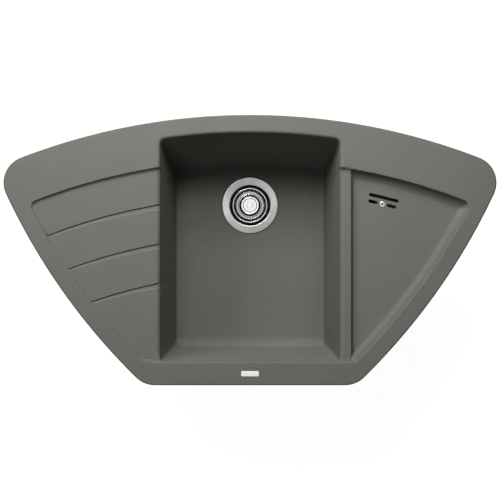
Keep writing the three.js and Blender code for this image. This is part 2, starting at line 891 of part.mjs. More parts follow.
function wasteBody() {
  const inner = wasteRadius - wasteWall;
  const shell = turned(
    [
      [outletRadius, outletEnd],
      [outletRadius, outletTop],
      [wasteRadius, wasteConeTop],
      [wasteRadius, wasteTop - wasteFlange],
      [wasteFlangeRadius, wasteTop - wasteFlange],
      [wasteFlangeRadius, wasteTop],
      [inner, wasteTop],
      [inner, wasteConeTop + wasteWall / 2],
      [outletRadius - wasteWall, outletTop + wasteWall / 2],
      [outletRadius - wasteWall, outletEnd],
    ],
    28,
  );
  const hub = rod(hubRadius, hubTop - hubHeight, hubTop, 16);
  const webs = [0, 1, 2].map((i) => {
    const web = new THREE.BoxGeometry(inner + wasteWall / 2, webThickness, hubHeight - 2 * webThickness);
    web.translate((inner + wasteWall / 2) / 2, 0, hubTop - hubHeight / 2);
    return solid(web.rotateZ(((2 * i + 1) * Math.PI) / 3));
  });
  const along = (radius, from, to) => {
    const tube = new THREE.CylinderGeometry(radius, radius, to - from, 16).rotateZ(-Math.PI / 2);
    return solid(tube.translate((from + to) / 2, 0, spigotZ).rotateZ(pipeWay));
  };
  const spigot = along(spigotRadius, inner + wasteWall / 2, wasteSpigotEnd);
  const bore = along(pipeBore, inner - wasteWall, wasteSpigotEnd + overcut);
  const hole = solid(rod(screwRadius + clearance, hubTop - hubHeight - overcut, hubTop + overcut, 12));
  const body = cut(join(solid(shell), solid(hub), ...webs, spigot), bore, hole);
  return atStrainer(geometryOf(body));
}

// A cutter for the slot across a screw's head, from its face.
function screwSlot(radius, face) {
  const slot = new THREE.BoxGeometry(2 * radius + overcut, screwSlotWidth, 2 * screwSlotDepth);
  return solid(slot.translate(0, 0, face));
}

function wasteCentreScrew() {
  const headBottom = cupFloorTop + clearance;
  const headTop = headBottom + screwHeadHeight;
  const bolt = turned(
    [
      [0, hubTop - hubHeight],
      [screwRadius, hubTop - hubHeight],
      [screwRadius, headBottom],
      [screwHeadRadius, headBottom],
      [screwHeadRadius, headTop - chamfer],
      [screwHeadRadius - chamfer, headTop],
      [0, headTop],
    ],
    16,
  );
  return atStrainer(geometryOf(cut(solid(bolt), screwSlot(screwHeadRadius, headTop))));
}

// A nut's sleeve with grip ribs and an inward lip at its bottom, from z = 0 up.
function ribbedNut({ bore, lipBore, lip, height, thickness, ribs, sides }) {
  const outer = bore + thickness;
  const sleeve = solid(
    turned(
      [
        [lipBore, 0],
        [outer - chamfer, 0],
        [outer, chamfer],
        [outer, height],
        [bore, height],
        [bore, lip],
        [lipBore, lip],
      ],
      sides,
    ),
  );
  const grips = Array.from({ length: ribs }, (_, i) => {
    const grip = new THREE.BoxGeometry(nutGrip, nutGrip, height - nutGrip);
    grip.translate(outer, 0, height / 2);
    return solid(grip.rotateZ((2 * Math.PI * i) / ribs));
  });
  return geometryOf(join(sleeve, ...grips));
}

const outletNutBottom = outletEnd - clearance - washerThickness - clearance - nutLip;

function outletUnionNut() {
  const nut = ribbedNut({
    bore: outletRadius + clearance,
    lipBore: outletRadius - wasteWall,
    lip: nutLip,
    height: nutHeight,
    thickness: nutWall,
    ribs: nutRibs,
    sides: 24,
  });
  return atStrainer(nut.translate(0, 0, outletNutBottom));
}

function outletWasher() {
  const top = outletEnd - clearance;
  const inner = outletRadius - wasteWall;
  return atStrainer(washerRing(inner, outletRadius - clearance, top - washerThickness, top, 24));
}

// ---- overflow ----

const housingTop = basinUnder - gasketThickness - 2 * clearance;
const housingBottom = housingTop - housingHeight;
const spigotEnd = housingBottom - spigotLength;
const housingMiddle = -slotRows / 2;

function overflowGasket() {
  const top = basinUnder - clearance;
  const [length, width] = [housingWidth, housingDepth];
  const outer = plate(roundedRectangle(length, width, housingCorner), top - gasketThickness, top);
  const inner = plate(
    roundedRectangle(length - 4 * housingWall, width - 4 * housingWall, housingCorner - 2 * housingWall),
    top - gasketThickness - overcut,
    top + overcut,
  );
  const ringSolid = cut(solid(outer), solid(inner));
  return atOverflow(geometryOf(ringSolid).translate(0, housingMiddle, 0));
}

function overflowHousing() {
  const place = (geometry) => solid(geometry.translate(0, housingMiddle, 0));
  const rectangle = (inset) =>
    roundedRectangle(housingWidth - 2 * inset, housingDepth - 2 * inset, housingCorner - inset);
  const box = place(plate(rectangle(0), housingBottom, housingTop));
  const hollow = place(
    plate(
      rectangle(housingWall),
      housingBottom + housingWall,
      housingTop + overcut,
    ),
  );
  const boss = solid(rod(housingBoss, housingBottom, housingTop, 16, 0, -slotRows));
  const spigot = solid(
    rod(spigotRadius, spigotEnd, housingBottom + housingWall, 16, -spigotX, housingMiddle),
  );
  const bore = solid(
    rod(pipeBore, spigotEnd - overcut, housingBottom + 2 * housingWall, 16, -spigotX, housingMiddle),
  );
  const pilot = solid(
    rod(overflowShank + clearance, housingBottom + housingWall, housingTop + overcut, 12, 0, -slotRows),
  );
  return atOverflow(geometryOf(cut(join(cut(box, hollow), boss, spigot), bore, pilot)));
}

function overflowScrew() {
  const head = basinFloor - clearance;
  const screw = turned(
    [
      [0, housingBottom + 2 * housingWall],
      [overflowShank, housingBottom + 2 * housingWall],
      [overflowShank, head - overflowScrewRadius + overflowShank],
      [overflowScrewRadius, head],
      [overflowScrewRadius, head + clearance],
      [0, head + clearance],
    ],
    20,
  );
  const socket = rod(overflowScrewSocket, head - 2 * overflowScrewSocket, head + overcut, 6);
  return atOverflow(geometryOf(cut(solid(screw), solid(socket))).translate(0, -slotRows, 0));
}

// The ribbed pipe: down from the housing, round one bend, and along to the waste body.
const pipeStart = new Vector2(pipeReach, spigotEnd - clearance);
const pipeEnd = new Vector2(wasteSpigotEnd + clearance, spigotZ);
const pipeBend = Math.min(pipeStart.x - pipeEnd.x, pipeStart.y - pipeEnd.y) - pipeStraight;
const pipeDrop = pipeStart.y - pipeEnd.y - pipeBend;
const pipeArc = (Math.PI / 2) * pipeBend;
const pipeLength = pipeDrop + pipeArc + (pipeStart.x - pipeEnd.x - pipeBend);

// A point of the pipe's middle line, in the upright plane through the strainer, and the way it runs.
function pipeAt(length) {
  if (length <= pipeDrop) return { x: pipeStart.x, z: pipeStart.y - length, angle: 0 };
  const angle = Math.min((length - pipeDrop) / pipeBend, Math.PI / 2);
  const rest = Math.max(length - pipeDrop - pipeArc, 0);
  const [cx, cz] = [pipeStart.x - pipeBend, pipeEnd.y + pipeBend];
  return {
    x: cx + pipeBend * Math.cos(angle) - rest,
    z: cz - pipeBend * Math.sin(angle),
    angle,
  };
}

// A ring of eight points round the pipe's middle line.
function pipeRing(length, radius) {
  const { x, z, angle } = pipeAt(length);
  return Array.from({ length: 8 }, (_, i) => {
    const turn = (2 * Math.PI * i) / 8;
    const [out, aside] = [radius * Math.cos(turn), radius * Math.sin(turn)];
    return new Vector3(x + out * Math.cos(angle), aside, z - out * Math.sin(angle));
  });
}

function overflowHose() {
  const ribs = Math.floor((pipeLength - 2 * collarThickness) / ribPitch);
  const pitch = (pipeLength - 2 * collarThickness) / ribs;
  const rings = [pipeRing(0, pipeCollar), pipeRing(collarThickness, pipeCollar)];
  for (let i = 0; i < ribs; i++) {
    const start = collarThickness + i * pitch;
    rings.push(pipeRing(start, pipeRoot), pipeRing(start + pitch / 2, pipeCrest));
  }
  rings.push(pipeRing(pipeLength - collarThickness, pipeRoot));
  rings.push(pipeRing(pipeLength - collarThickness, pipeCollar), pipeRing(pipeLength, pipeCollar));
  for (let i = ribs; i >= 0; i--) {
    if (i % 5 && i !== ribs) continue;
    const share = i / ribs;
    rings.push(pipeRing(share * pipeLength, pipeBore));
  }
  const index = [];
  for (let i = 0; i < rings.length; i++)
    for (let j = 0; j < 8; j++) {
      const [a, b] = [i * 8 + j, i * 8 + ((j + 1) % 8)];
      const [c, d] = [a, b].map((v) => (v + 8) % (rings.length * 8));
      index.push(a, c, b, b, c, d);
    }
  const hose = new THREE.BufferGeometry().setFromPoints(rings.flat()).setIndex(index);
  return atStrainer(hose.rotateZ(pipeWay));
}

function hoseNut() {
  return ribbedNut({
    bore: spigotRadius + clearance,
    lipBore: pipeCrest + clearance,
    lip: hoseNutLip,
    height: hoseNutHeight,
    thickness: hoseNutWall,
    ribs: pipeNutRibs,
    sides: 16,
  });
}

const nutSeat = clearance + collarThickness + clearance + hoseNutLip; // lip's face to the spigot's end

const hoseNutTop = () =>
  hoseNut()
    .translate(pipeReach, 0, spigotEnd - nutSeat)
    .rotateZ(pipeWay)
    .translate(0, strainerY, 0);

const hoseNutBottom = () =>
  hoseNut()
    .rotateY(-Math.PI / 2)
    .translate(wasteSpigotEnd + nutSeat, 0, spigotZ)
    .rotateZ(pipeWay)
    .translate(0, strainerY, 0);

// ---- clamps ----

const clawTop = -worktop - clawTip;
const headTop = clawTop - clawSheet - clearance;

const clampInsert = (spot) =>
  atClamp(
    washerRing(clampScrewRadius + clearance, insertRadius, -clampPadDrop, insertTop, 10),
    spot,
  );

function clampScrew(spot) {
  const bolt = turned(
    [
      [0, headTop - clampHeadHeight],
      [clampHeadRadius - chamfer, headTop - clampHeadHeight],
      [clampHeadRadius, headTop - clampHeadHeight + chamfer],
      [clampHeadRadius, headTop],
      [clampScrewRadius, headTop],
      [clampScrewRadius, insertTop - chamfer],
      [clampScrewRadius - chamfer, insertTop],
      [0, insertTop],
    ],
    10,
  );
  const slot = screwSlot(clampHeadRadius, headTop - clampHeadHeight);
  return atClamp(geometryOf(cut(solid(bolt), slot)), spot);
}

// A bent strip: heel up against the pad, a hole for the screw, and a tip under the worktop.
function clampClaw(spot) {
  const side = new THREE.Shape(
    [
      [-clawHeel, -clawSheet],
      [clawReach, -clawSheet],
      [clawReach, clawTip],
      [clawReach - clawSheet, clawTip],
      [clawReach - clawSheet, 0],
      [clawSheet - clawHeel, 0],
      [clawSheet - clawHeel, -clampPadDrop - clearance - clawTop],
      [-clawHeel, -clampPadDrop - clearance - clawTop],
    ].map(([x, z]) => new Vector2(x, z)),
  );
  const strip = new THREE.ExtrudeGeometry(side, { depth: clawWidth, bevelEnabled: false });
  turnUp(strip).translate(0, clawWidth / 2, clawTop);
  const hole = rod(clampScrewRadius + clearance, clawTop - clawSheet - overcut, clawTop + overcut, 12);
  return atClamp(geometryOf(cut(solid(strip), solid(hole))), spot);
}

// ---- the group ----

const looks = {
  composite: { color: 0x7a7772, roughness: 0.75, metalness: 0 },
  foam: { color: 0x3a3a3a, roughness: 0.95, metalness: 0 },
  plate: { color: 0xe4e3df, roughness: 0.35, metalness: 0.6 },
  steel: { color: 0xc6c7c4, roughness: 0.3, metalness: 1 },
  polished: { color: 0xdedede, roughness: 0.12, metalness: 1 },
  rubber: { color: 0x1d1d1d, roughness: 0.85, metalness: 0 },
  plastic: { color: 0x26272a, roughness: 0.6, metalness: 0 },
  pipe: { color: 0x8d8f91, roughness: 0.6, metalness: 0 },
  brass: { color: 0xb9975b, roughness: 0.4, metalness: 1 },
  zinc: { color: 0xa9abad, roughness: 0.45, metalness: 1 },
};

const sink = new THREE.Group();
sink.position.y = -seatInset;

function add(name, part, look) {
  const geometry = part.isBufferGeometry ? part : geometryOf(part);
  const mesh = new THREE.Mesh(geometry, new THREE.MeshStandardMaterial(look));
  mesh.name = name;
  sink.add(mesh);
}

add("sink_body", sinkBody(), looks.composite);
add("rim_seal_tape", rimSealTape(), looks.foam);
add("badge_plate", badgePlate(), looks.plate);
add("strainer_flange", strainerFlange(), looks.steel);
add("flange_gasket", flangeGasket(), looks.rubber);
add("strainer_basket", strainerBasket(), looks.polished);
add("basket_seal", basketSeal(), looks.rubber);
add("basket_stem", basketStem(), looks.steel);
add("basket_knob", basketKnob(), looks.polished);
add("waste_body", wasteBody(), looks.plastic);
add("waste_body_gasket", wasteBodyGasket(), looks.rubber);
add("waste_centre_screw", wasteCentreScrew(), looks.steel);
add("outlet_union_nut", outletUnionNut(), looks.plastic);
add("outlet_washer", outletWasher(), looks.rubber);
add("overflow_gasket", overflowGasket(), looks.rubber);
add("overflow_housing", overflowHousing(), looks.plastic);
add("overflow_screw", overflowScrew(), looks.polished);
add("overflow_hose", overflowHose(), looks.pipe);
add("hose_nut_top", hoseNutTop(), looks.plastic);
add("hose_nut_bottom", hoseNutBottom(), looks.plastic);
clampSpots.forEach((spot, i) => {
  add(`clamp_insert_${i + 1}`, clampInsert(spot), looks.brass);
  add(`clamp_screw_${i + 1}`, clampScrew(spot), looks.zinc);
  add(`clamp_claw_${i + 1}`, clampClaw(spot), looks.zinc);
});

export default sink;
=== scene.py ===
import json
import math

import bmesh
import bpy
import numpy as np
from mathutils import Matrix, Vector
from mathutils.geometry import delaunay_2d_cdt
from mathutils.kdtree import KDTree

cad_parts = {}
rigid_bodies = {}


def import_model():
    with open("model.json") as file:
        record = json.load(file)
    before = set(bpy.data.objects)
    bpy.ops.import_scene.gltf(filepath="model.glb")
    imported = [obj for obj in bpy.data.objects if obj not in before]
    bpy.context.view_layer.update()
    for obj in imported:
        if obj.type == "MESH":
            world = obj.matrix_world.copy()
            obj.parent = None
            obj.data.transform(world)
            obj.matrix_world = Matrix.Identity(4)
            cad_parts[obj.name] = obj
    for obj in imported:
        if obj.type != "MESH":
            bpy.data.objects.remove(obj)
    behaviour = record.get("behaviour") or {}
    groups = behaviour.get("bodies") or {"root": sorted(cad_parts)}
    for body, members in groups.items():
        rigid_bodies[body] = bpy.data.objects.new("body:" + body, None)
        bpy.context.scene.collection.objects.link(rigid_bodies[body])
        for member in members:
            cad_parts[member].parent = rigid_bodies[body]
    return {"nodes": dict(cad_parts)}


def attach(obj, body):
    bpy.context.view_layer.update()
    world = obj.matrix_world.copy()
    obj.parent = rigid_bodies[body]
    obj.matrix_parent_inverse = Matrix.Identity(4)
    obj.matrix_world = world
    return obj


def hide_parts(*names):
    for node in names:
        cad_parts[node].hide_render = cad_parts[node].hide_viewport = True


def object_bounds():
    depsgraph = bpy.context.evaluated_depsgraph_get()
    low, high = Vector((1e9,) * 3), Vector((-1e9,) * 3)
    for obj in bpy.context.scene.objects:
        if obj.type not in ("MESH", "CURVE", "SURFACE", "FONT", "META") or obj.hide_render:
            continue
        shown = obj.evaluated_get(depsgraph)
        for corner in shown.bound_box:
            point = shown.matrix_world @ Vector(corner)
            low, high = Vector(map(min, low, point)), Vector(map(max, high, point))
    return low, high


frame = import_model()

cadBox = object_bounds()
print("frame loaded,", len(frame["nodes"]), "nodes")

# Lengths are millimetres, and y starts at the sink's front edge, as on its drawing.
# The frame's origin lies this far in from that edge.
seatInset = 9


def place(x, y, z):
    return (x / 1000, (y - seatInset) / 1000, z / 1000)


# Materials


def linear(hexColour):
    channels = [int(hexColour[i : i + 2], 16) / 255 for i in (1, 3, 5)]
    return (*[c / 12.92 if c <= 0.04045 else ((c + 0.055) / 1.055) ** 2.4 for c in channels], 1)


def addNode(tree, kind, inputs=None, stops=None, **settings):
    node = tree.nodes.new(kind)
    for name, value in settings.items():
        setattr(node, name, value)
    for name, value in (inputs or {}).items():
        sockets = [s for s in node.inputs if s.name == name and s.enabled]
        socket = sockets[0] if sockets else node.inputs[name]
        if isinstance(value, bpy.types.NodeSocket):
            tree.links.new(value, socket)
        else:
            socket.default_value = value
    for i, (position, value) in enumerate(stops or []):  # of a colour ramp: hex colours or grey levels
        element = node.color_ramp.elements[i] if i < 2 else node.color_ramp.elements.new(position)
        element.position = position
        element.color = linear(value) if isinstance(value, str) else (value, value, value, 1)
    return node


def newMaterial(name, **shaderInputs):
    material = bpy.data.materials.new(name)
    material.use_nodes = True
    tree = material.node_tree
    shader = tree.nodes["Principled BSDF"]
    for socket, value in shaderInputs.items():
        shader.inputs[socket.replace("_", " ")].default_value = value
    return material, tree, shader, addNode(tree, "ShaderNodeTexCoord").outputs["Object"]


def perMetre(millimetres):  # a texture's scale for a pattern of this size
    return 1000 / millimetres


def noise(tree, where, millimetres, detail, roughness=0.5):
    inputs = {"Vector": where, "Scale": perMetre(millimetres), "Detail": detail, "Roughness": roughness}
    return addNode(tree, "ShaderNodeTexNoise", inputs).outputs["Fac"]


def ramp(tree, value, stops):
    return addNode(tree, "ShaderNodeValToRGB", {"Fac": value}, stops).outputs["Color"]


def mapped(tree, value, start, end, low, high):
    inputs = {"Value": value, "From Min": start, "From Max": end, "To Min": low, "To Max": high}
    return addNode(tree, "ShaderNodeMapRange", inputs).outputs["Result"]


def maths(tree, operation, *values):
    return addNode(tree, "ShaderNodeMath", dict(enumerate(values)), operation=operation).outputs[0]


def vectorMaths(tree, operation, *values, output="Vector"):
    return addNode(tree, "ShaderNodeVectorMath", dict(enumerate(values)), operation=operation).outputs[output]


# The colour, and a roughness and a fine relief that follow one pattern, as the material's surface.
def surface(tree, shader, colour, pattern, size, strength):
    dull = mapped(tree, pattern, 0.3, 0.7, *size["roughness"])
    raised = {"Strength": strength, "Distance": size["relief"] / 1000, "Height": pattern}
    relief = addNode(tree, "ShaderNodeBump", raised).outputs["Normal"]
    for source, socket in ((colour, "Base Color"), (dull, "Roughness"), (relief, "Normal")):
        tree.links.new(source, shader.inputs[socket])


# Quartz and acrylic composite, cast in a steel mould: matt, dense, with fine grains in the colour.
composite = {
    "base": "#797772",
    "darkGrain": "#72706b",
    "lightGrain": "#807e79",
    "grain": 1.6,  # the real grains of 0.5 mm are too fine to show, so they are drawn coarser
    "pore": 0.55,
    "mottle": 70,
    "roughness": (0.5, 0.64),
    "relief": 0.05,
}


def castComposite():
    size = composite
    material, tree, shader, where = newMaterial("castQuartzComposite", IOR=1.5, Specular_IOR_Level=0.0)
    grain = addNode(tree, "ShaderNodeTexVoronoi", {"Vector": where, "Scale": perMetre(size["grain"])})
    stops = [(0.0, size["darkGrain"]), (1.0, size["lightGrain"]), (0.3, size["base"]), (0.75, size["base"])]
    shades = ramp(tree, grain.outputs["Color"], stops)
    drift = ramp(tree, noise(tree, where, size["mottle"], 3.0, 0.55), [(0.3, 0.95), (0.7, 1.0)])
    colour = vectorMaths(tree, "MULTIPLY", shades, drift)
    surface(tree, shader, colour, noise(tree, where, size["pore"], 2.0, 0.6), size, strength=0.35)
    return material


# Metals and plastics share one build: a colour that drifts, a roughness that varies, and a fine relief.
# "lines" draws the relief as rings about an upright axis, as turning or round brushing leaves them.
finishes = {
    # satin stainless steel, pressed and round-brushed: soft grey reflections that stretch across the rings
    "brushedStainless": {
        "colours": ("#9c9a99", "#a8a6a5"), "metallic": 1.0, "roughness": (0.3, 0.4), "drift": 30,
        "relief": 0.01, "lines": 0.7, "stretch": 0.6,
    },
    # stainless steel, polished after pressing: bright with faint wiping marks
    "polishedStainless": {
        "colours": ("#d2d2d0", "#dededc"), "metallic": 1.0, "roughness": (0.1, 0.18), "drift": 9,
        "relief": 0.0015, "lines": 1.5,
    },
    # chromed brass, buffed: almost white, with painted shade in its pressed circles
    "buffedChrome": {
        "colours": ("#eeeeed", "#f6f6f5"), "metallic": 1.0, "roughness": (0.08, 0.16), "drift": 12,
        "relief": 0.001, "lines": 1.5,
    },
    # anodised aluminium, rolled and satin: even and light
    "anodisedAluminium": {
        "colours": ("#d2d2cf", "#dededb"), "metallic": 1.0, "roughness": (0.3, 0.4), "drift": 12,
        "relief": 0.01, "grain": 0.5,
    },
    # zinc-plated steel: cool grey with cloudy passivation
    "zincPlatedSteel": {
        "colours": ("#a9adb0", "#bdbcae"), "metallic": 1.0, "roughness": (0.28, 0.45), "drift": 6,
        "relief": 0.015, "grain": 0.8,
    },
    # brass, turned: warm with fine tool rings
    "turnedBrass": {
        "colours": ("#b8924e", "#c9a565"), "metallic": 1.0, "roughness": (0.22, 0.34), "drift": 4,
        "relief": 0.01, "grain": 0.5,
    },
    # black polypropylene, moulded in a spark-eroded tool: dark with a soft broad sheen
    "mouldedPolypropylene": {
        "colours": ("#1c1d1f", "#25262a"), "metallic": 0.0, "roughness": (0.42, 0.55), "drift": 18,
        "relief": 0.03, "grain": 0.45,
    },
    # grey polypropylene, extruded and corrugated: pale and slightly waxy
    "corrugatedPolypropylene": {
        "colours": ("#85888a", "#929597"), "metallic": 0.0, "roughness": (0.38, 0.5), "drift": 14,
        "relief": 0.02, "grain": 0.9,
    },
    # EPDM rubber, moulded: near black and matt, with a pale bloom
    "mouldedEpdm": {
        "colours": ("#161616", "#222221"), "metallic": 0.0, "roughness": (0.62, 0.8), "drift": 5,
        "relief": 0.03, "grain": 0.4,
    },
    # closed-cell polyethylene foam, slit from a roll: matt with open cut cells
    "cutFoam": {
        "colours": ("#2f3031", "#414243"), "metallic": 0.0, "roughness": (0.85, 0.98), "drift": 3,
        "relief": 0.25, "grain": 0.8,
    },
}


# paintedShadeCircles are (radius, width, share of black) about the axis: painted shade in a groove, gap or
# hollow.
def finish(name, axis=(0, 0), paintedShadeCircles=()):
    size = finishes[name]
    material, tree, shader, where = newMaterial(name, Metallic=size["metallic"])
    first, second = size["colours"]
    shade = ramp(tree, noise(tree, where, size["drift"], 4.0, 0.6), [(0.35, first), (0.65, second)])
    if "lines" in size:
        centred = vectorMaths(tree, "SUBTRACT", where, (*axis, 0))
        flat = vectorMaths(tree, "MULTIPLY", centred, (1, 1, 0))
        radius = vectorMaths(tree, "LENGTH", flat, output="Value")
        rings = {"W": radius, "Scale": perMetre(size["lines"]), "Detail": 3.0}
        pattern = addNode(tree, "ShaderNodeTexNoise", rings, noise_dimensions="1D").outputs["Fac"]
    else:
        pattern = noise(tree, where, size["grain"], 3.0)
    # painted shade: each circle mixes the colour towards black
    for circle, width, share in paintedShadeCircles:
        near = maths(tree, "ABSOLUTE", maths(tree, "SUBTRACT", radius, circle / 1000))
        edge = width / 2000
        mask = mapped(tree, near, edge * 0.8, edge, share, 0)
        mixed = {"Factor": mask, "A": shade, "B": linear("#0b0b0b")}
        shade = addNode(tree, "ShaderNodeMix", mixed, data_type="RGBA").outputs[2]
    if "stretch" in size:
        around = addNode(tree, "ShaderNodeTangent", direction_type="RADIAL", axis="Z")
        shader.inputs["Anisotropic"].default_value = size["stretch"]
        tree.links.new(around.outputs["Tangent"], shader.inputs["Tangent"])
    surface(tree, shader, shade, pattern, size, strength=0.4)
    return material


# Mesh helpers


# A mesh as a piece of the model: on its body, with its look, and in place of its solids.
def fitted(name, mesh, body, look, nodes, crease=35):
    piece = bpy.data.objects.new(name, mesh)
    bpy.context.scene.collection.objects.link(piece)
    mesh.materials.clear()
    mesh.materials.append(look)
    mesh.shade_smooth()
    mesh.set_sharp_from_angle(angle=math.radians(crease))
    piece.modifiers.new("evenNormals", "WEIGHTED_NORMAL").keep_sharp = True
    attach(piece, body)
    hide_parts(*nodes)


# A mesh from points in the frame's metres, with doubles merged and its faces turned out.
def cleanMesh(name, vertices, faces):
    mesh = bpy.data.meshes.new(name)
    mesh.from_pydata(vertices, [], faces)
    tidy = bmesh.new()
    tidy.from_mesh(mesh)
    bmesh.ops.remove_doubles(tidy, verts=tidy.verts, dist=2e-6)
    bmesh.ops.recalc_face_normals(tidy, faces=tidy.faces)
    tidy.to_mesh(mesh)
    tidy.free()
    return mesh


def bridge(first, second):
    count = len(first)
    return [(first[i], first[(i + 1) % count], second[(i + 1) % count], second[i]) for i in range(count)]


# The points and faces of a closed body through rings of equal count: capped at its ends, or joined from
# the last to the first.
def lofted(rings, capped=True):
    count = len(rings[0])
    rows = [list(range(i * count, (i + 1) * count)) for i in range(len(rings))]
    faces = [face for a, b in zip(rows, rows[1:]) for face in bridge(a, b)]
    faces += [tuple(rows[0]), tuple(rows[-1])] if capped else bridge(rows[-1], rows[0])
    return [point for ring in rings for point in ring], faces


def evaluated(piece):
    return bpy.data.meshes.new_from_object(piece.evaluated_get(bpy.context.evaluated_depsgraph_get()))


def joins(*meshes):
    return [("UNION", mesh) for mesh in meshes]


def cuts(*meshes):
    return [("DIFFERENCE", mesh) for mesh in meshes]


# The first mesh joined with or cut by others, each a closed body.
def combined(mesh, *steps):
    target = bpy.data.objects.new("target", mesh)
    bpy.context.scene.collection.objects.link(target)
    tools = []
    for operation, other in steps:
        tool = bpy.data.objects.new("tool", other)
        bpy.context.scene.collection.objects.link(tool)
        tools.append(tool)
        cut = target.modifiers.new("cut", "BOOLEAN")
        cut.operation, cut.object, cut.solver = operation, tool, "MANIFOLD"
    bpy.context.view_layer.update()
    made = evaluated(target)
    for spent in (target, *tools):
        bpy.data.objects.remove(spent)
    return made


# The plan. An edge is ("arc", centre x, centre y, radius), a circle that the outline lies inside of, or
# ("line", normal x, normal y, distance), a line with its inward normal.


def inset(edge, distance):  # an edge moved inwards
    kind, x, y, size = edge
    return (kind, x, y, size - distance if kind == "arc" else size + distance)


def depthFrom(edge, x, y):
    kind, a, b, size = edge
    return size - np.hypot(x - a, y - b) if kind == "arc" else x * a + y * b - size


def inwardAt(edge, point):
    kind, a, b, _ = edge
    if kind == "line":
        return np.array([a, b])
    way = np.array([a, b]) - point
    return way / np.linalg.norm(way)


def crossing(first, second, start):  # by Newton steps from a point inside the outline
    point = np.array(start, float)
    for _ in range(16):
        normals = np.array([inwardAt(first, point), inwardAt(second, point)])
        depths = np.array([depthFrom(first, *point), depthFrom(second, *point)])
        point -= np.linalg.solve(normals, depths)
    return point


def arcPoints(centre, start, end, shares):
    first, last = (math.atan2(*(p - centre)[::-1]) for p in (start, end))
    sweep = math.remainder(last - first, 2 * math.pi)
    radius = np.linalg.norm(start - centre)
    angles = first + sweep * np.asarray(shares)
    return centre + radius * np.column_stack([np.cos(angles), np.sin(angles)])


# An outline, anticlockwise from above, with a rounded corner after each edge. Each edge has its points
# at the given shares of its length. Returns the points and the outward normal at each.
def outline(edges, corners, middle, stops, cornerSteps=8):
    rounded = []
    for i, edge in enumerate(edges):
        after = edges[(i + 1) % len(edges)]
        centre = crossing(inset(edge, corners[i]), inset(after, corners[i]), middle)
        touches = [centre - corners[i] * inwardAt(e, centre) for e in (edge, after)]
        rounded.append((centre, *touches))
    points, normals = [], []
    for i, edge in enumerate(edges):
        begin = rounded[i - 1][2]
        centre, end, past = rounded[i]
        if edge[0] == "arc":
            along = arcPoints(np.array(edge[1:3]), begin, end, stops[i])
        else:
            along = begin + np.outer(stops[i], end - begin)
        around = arcPoints(centre, end, past, np.arange(cornerSteps + 1) / cornerSteps)
        points += [along, around]
        normals += [np.array([-inwardAt(edge, p) for p in along]), (around - centre) / corners[i]]
    return np.concatenate(points), np.concatenate(normals)


def evenly(count):  # shares of an edge, without its two ends
    return np.arange(1, count) / count


def ring3(points, z):
    z = np.broadcast_to(z, len(points))
    return [place(x, y, h) for (x, y), h in zip(points, z)]


# The section of a step down, rounded at its head and its foot: insets and drops from the head.
def stepSection(drop, head, foot, degrees=75, steps=12):
    slope = math.radians(degrees)
    turn = np.linspace(0, slope, steps + 1)
    upper = np.column_stack([head * np.sin(turn), head * (1 - np.cos(turn))])
    straight = drop - upper[-1, 1] - foot * (1 - math.cos(slope))
    start = upper[-1, 0] + straight / math.tan(slope)
    back = turn[::-1]
    run = start + foot * (math.sin(slope) - np.sin(back))
    lower = np.column_stack([run, drop - foot * (1 - np.cos(back))])
    return np.concatenate([upper, lower])


def roundMin(a, b, reach):  # the lesser, with a round corner where both are within the reach
    a, b = np.minimum(a, b), np.maximum(a, b)
    return np.where(b < reach, reach - np.hypot(reach - a, reach - b), a)


def softMax(a, b, reach):  # the greater, rounded where the two are within the reach
    gap = np.maximum(reach - np.abs(a - b), 0)
    return np.maximum(a, b) + gap**2 / (4 * reach)


# The sink body. Its rim lies on the worktop, z = 0.
sink = {
    "frontSpan": 400,  # front edge between its sharp corners
    "backSpan": 963.5,
    "depth": 510,
    "radius": 1200,  # of the back and both sides
    "corner": 50.8,
    "height": 8,
    "rounding": 1,  # of its edge, over a chamfer of this slope and depth
    "edgeSlope": 58,
    "edgeDrop": 3.2,
    "lip": 12,  # what lies on the worktop
    "wall": 8,
    "skirt": 7,
    "skirtDrop": 12,
    "tapeInset": 2.2,  # the channel of the sealing strip
    "tapeWidth": 4.6,
    "tapeDepth": 1.5,
}
recess = {
    "drop": 6,
    "back": 85,  # in from the sink's edges
    "side": 30,
    "front": 41.8,
    "backCorner": 14,
    "frontCorner": 15,
    "head": 0.8,
    "foot": 8,
    "slope": 70,
    "sideRounding": 0.5,
    "sideSlope": 74,
    "backReach": 13,  # where the sides' steep step turns into the back's soft one
    "backBlend": 12,
    "frontRounding": 1.2,  # of the two small steps at the front of the drainer
    "frontLedge": 1.8,  # between them
    "fall": 0.25,  # degrees, drainer to bowl
}
groove = {
    "count": 3,
    "first": 155,  # back edge of the rim to the first groove
    "pitch": 73,
    "slit": 1.6,  # width of the dark slit at its back
    "slitDepth": 3.5,
    "depth": 1.7,  # of its floor, at the bowl
    "run": 10,
    "step": 0.2,
    "startDepth": 0.6,  # shares at the far end
    "startRun": 0.5,
    "end": 0.5,  # in from the recess's left edge
    "fade": 0.5,
}
bowl = {
    "width": 340,
    "back": 34.6,  # in from the sink's edges
    "front": 43.4,
    "floor": -182,
    "corner": 12,
    "footCorner": 24,
    "frontCorner": 6,
    "frontFootCorner": 15,
    "drafts": (14.6, 20, 29, 20),  # of the front, right, back and left wall
    "feet": (22, 7, 22, 7),  # rounding at the floor
    "edge": 6,  # rounding of its edge at the back, at the sides and at the front
    "sideEdge": 9,
    "frontEdge": 1.2,
    "floorFall": 0.008,  # rise per length, away from the strainer
    "hole": 45,
    "seat": 58,  # radius of the strainer's seat
    "seatDrop": 2.5,
    "strainer": 346,  # its place, in from the front edge
}
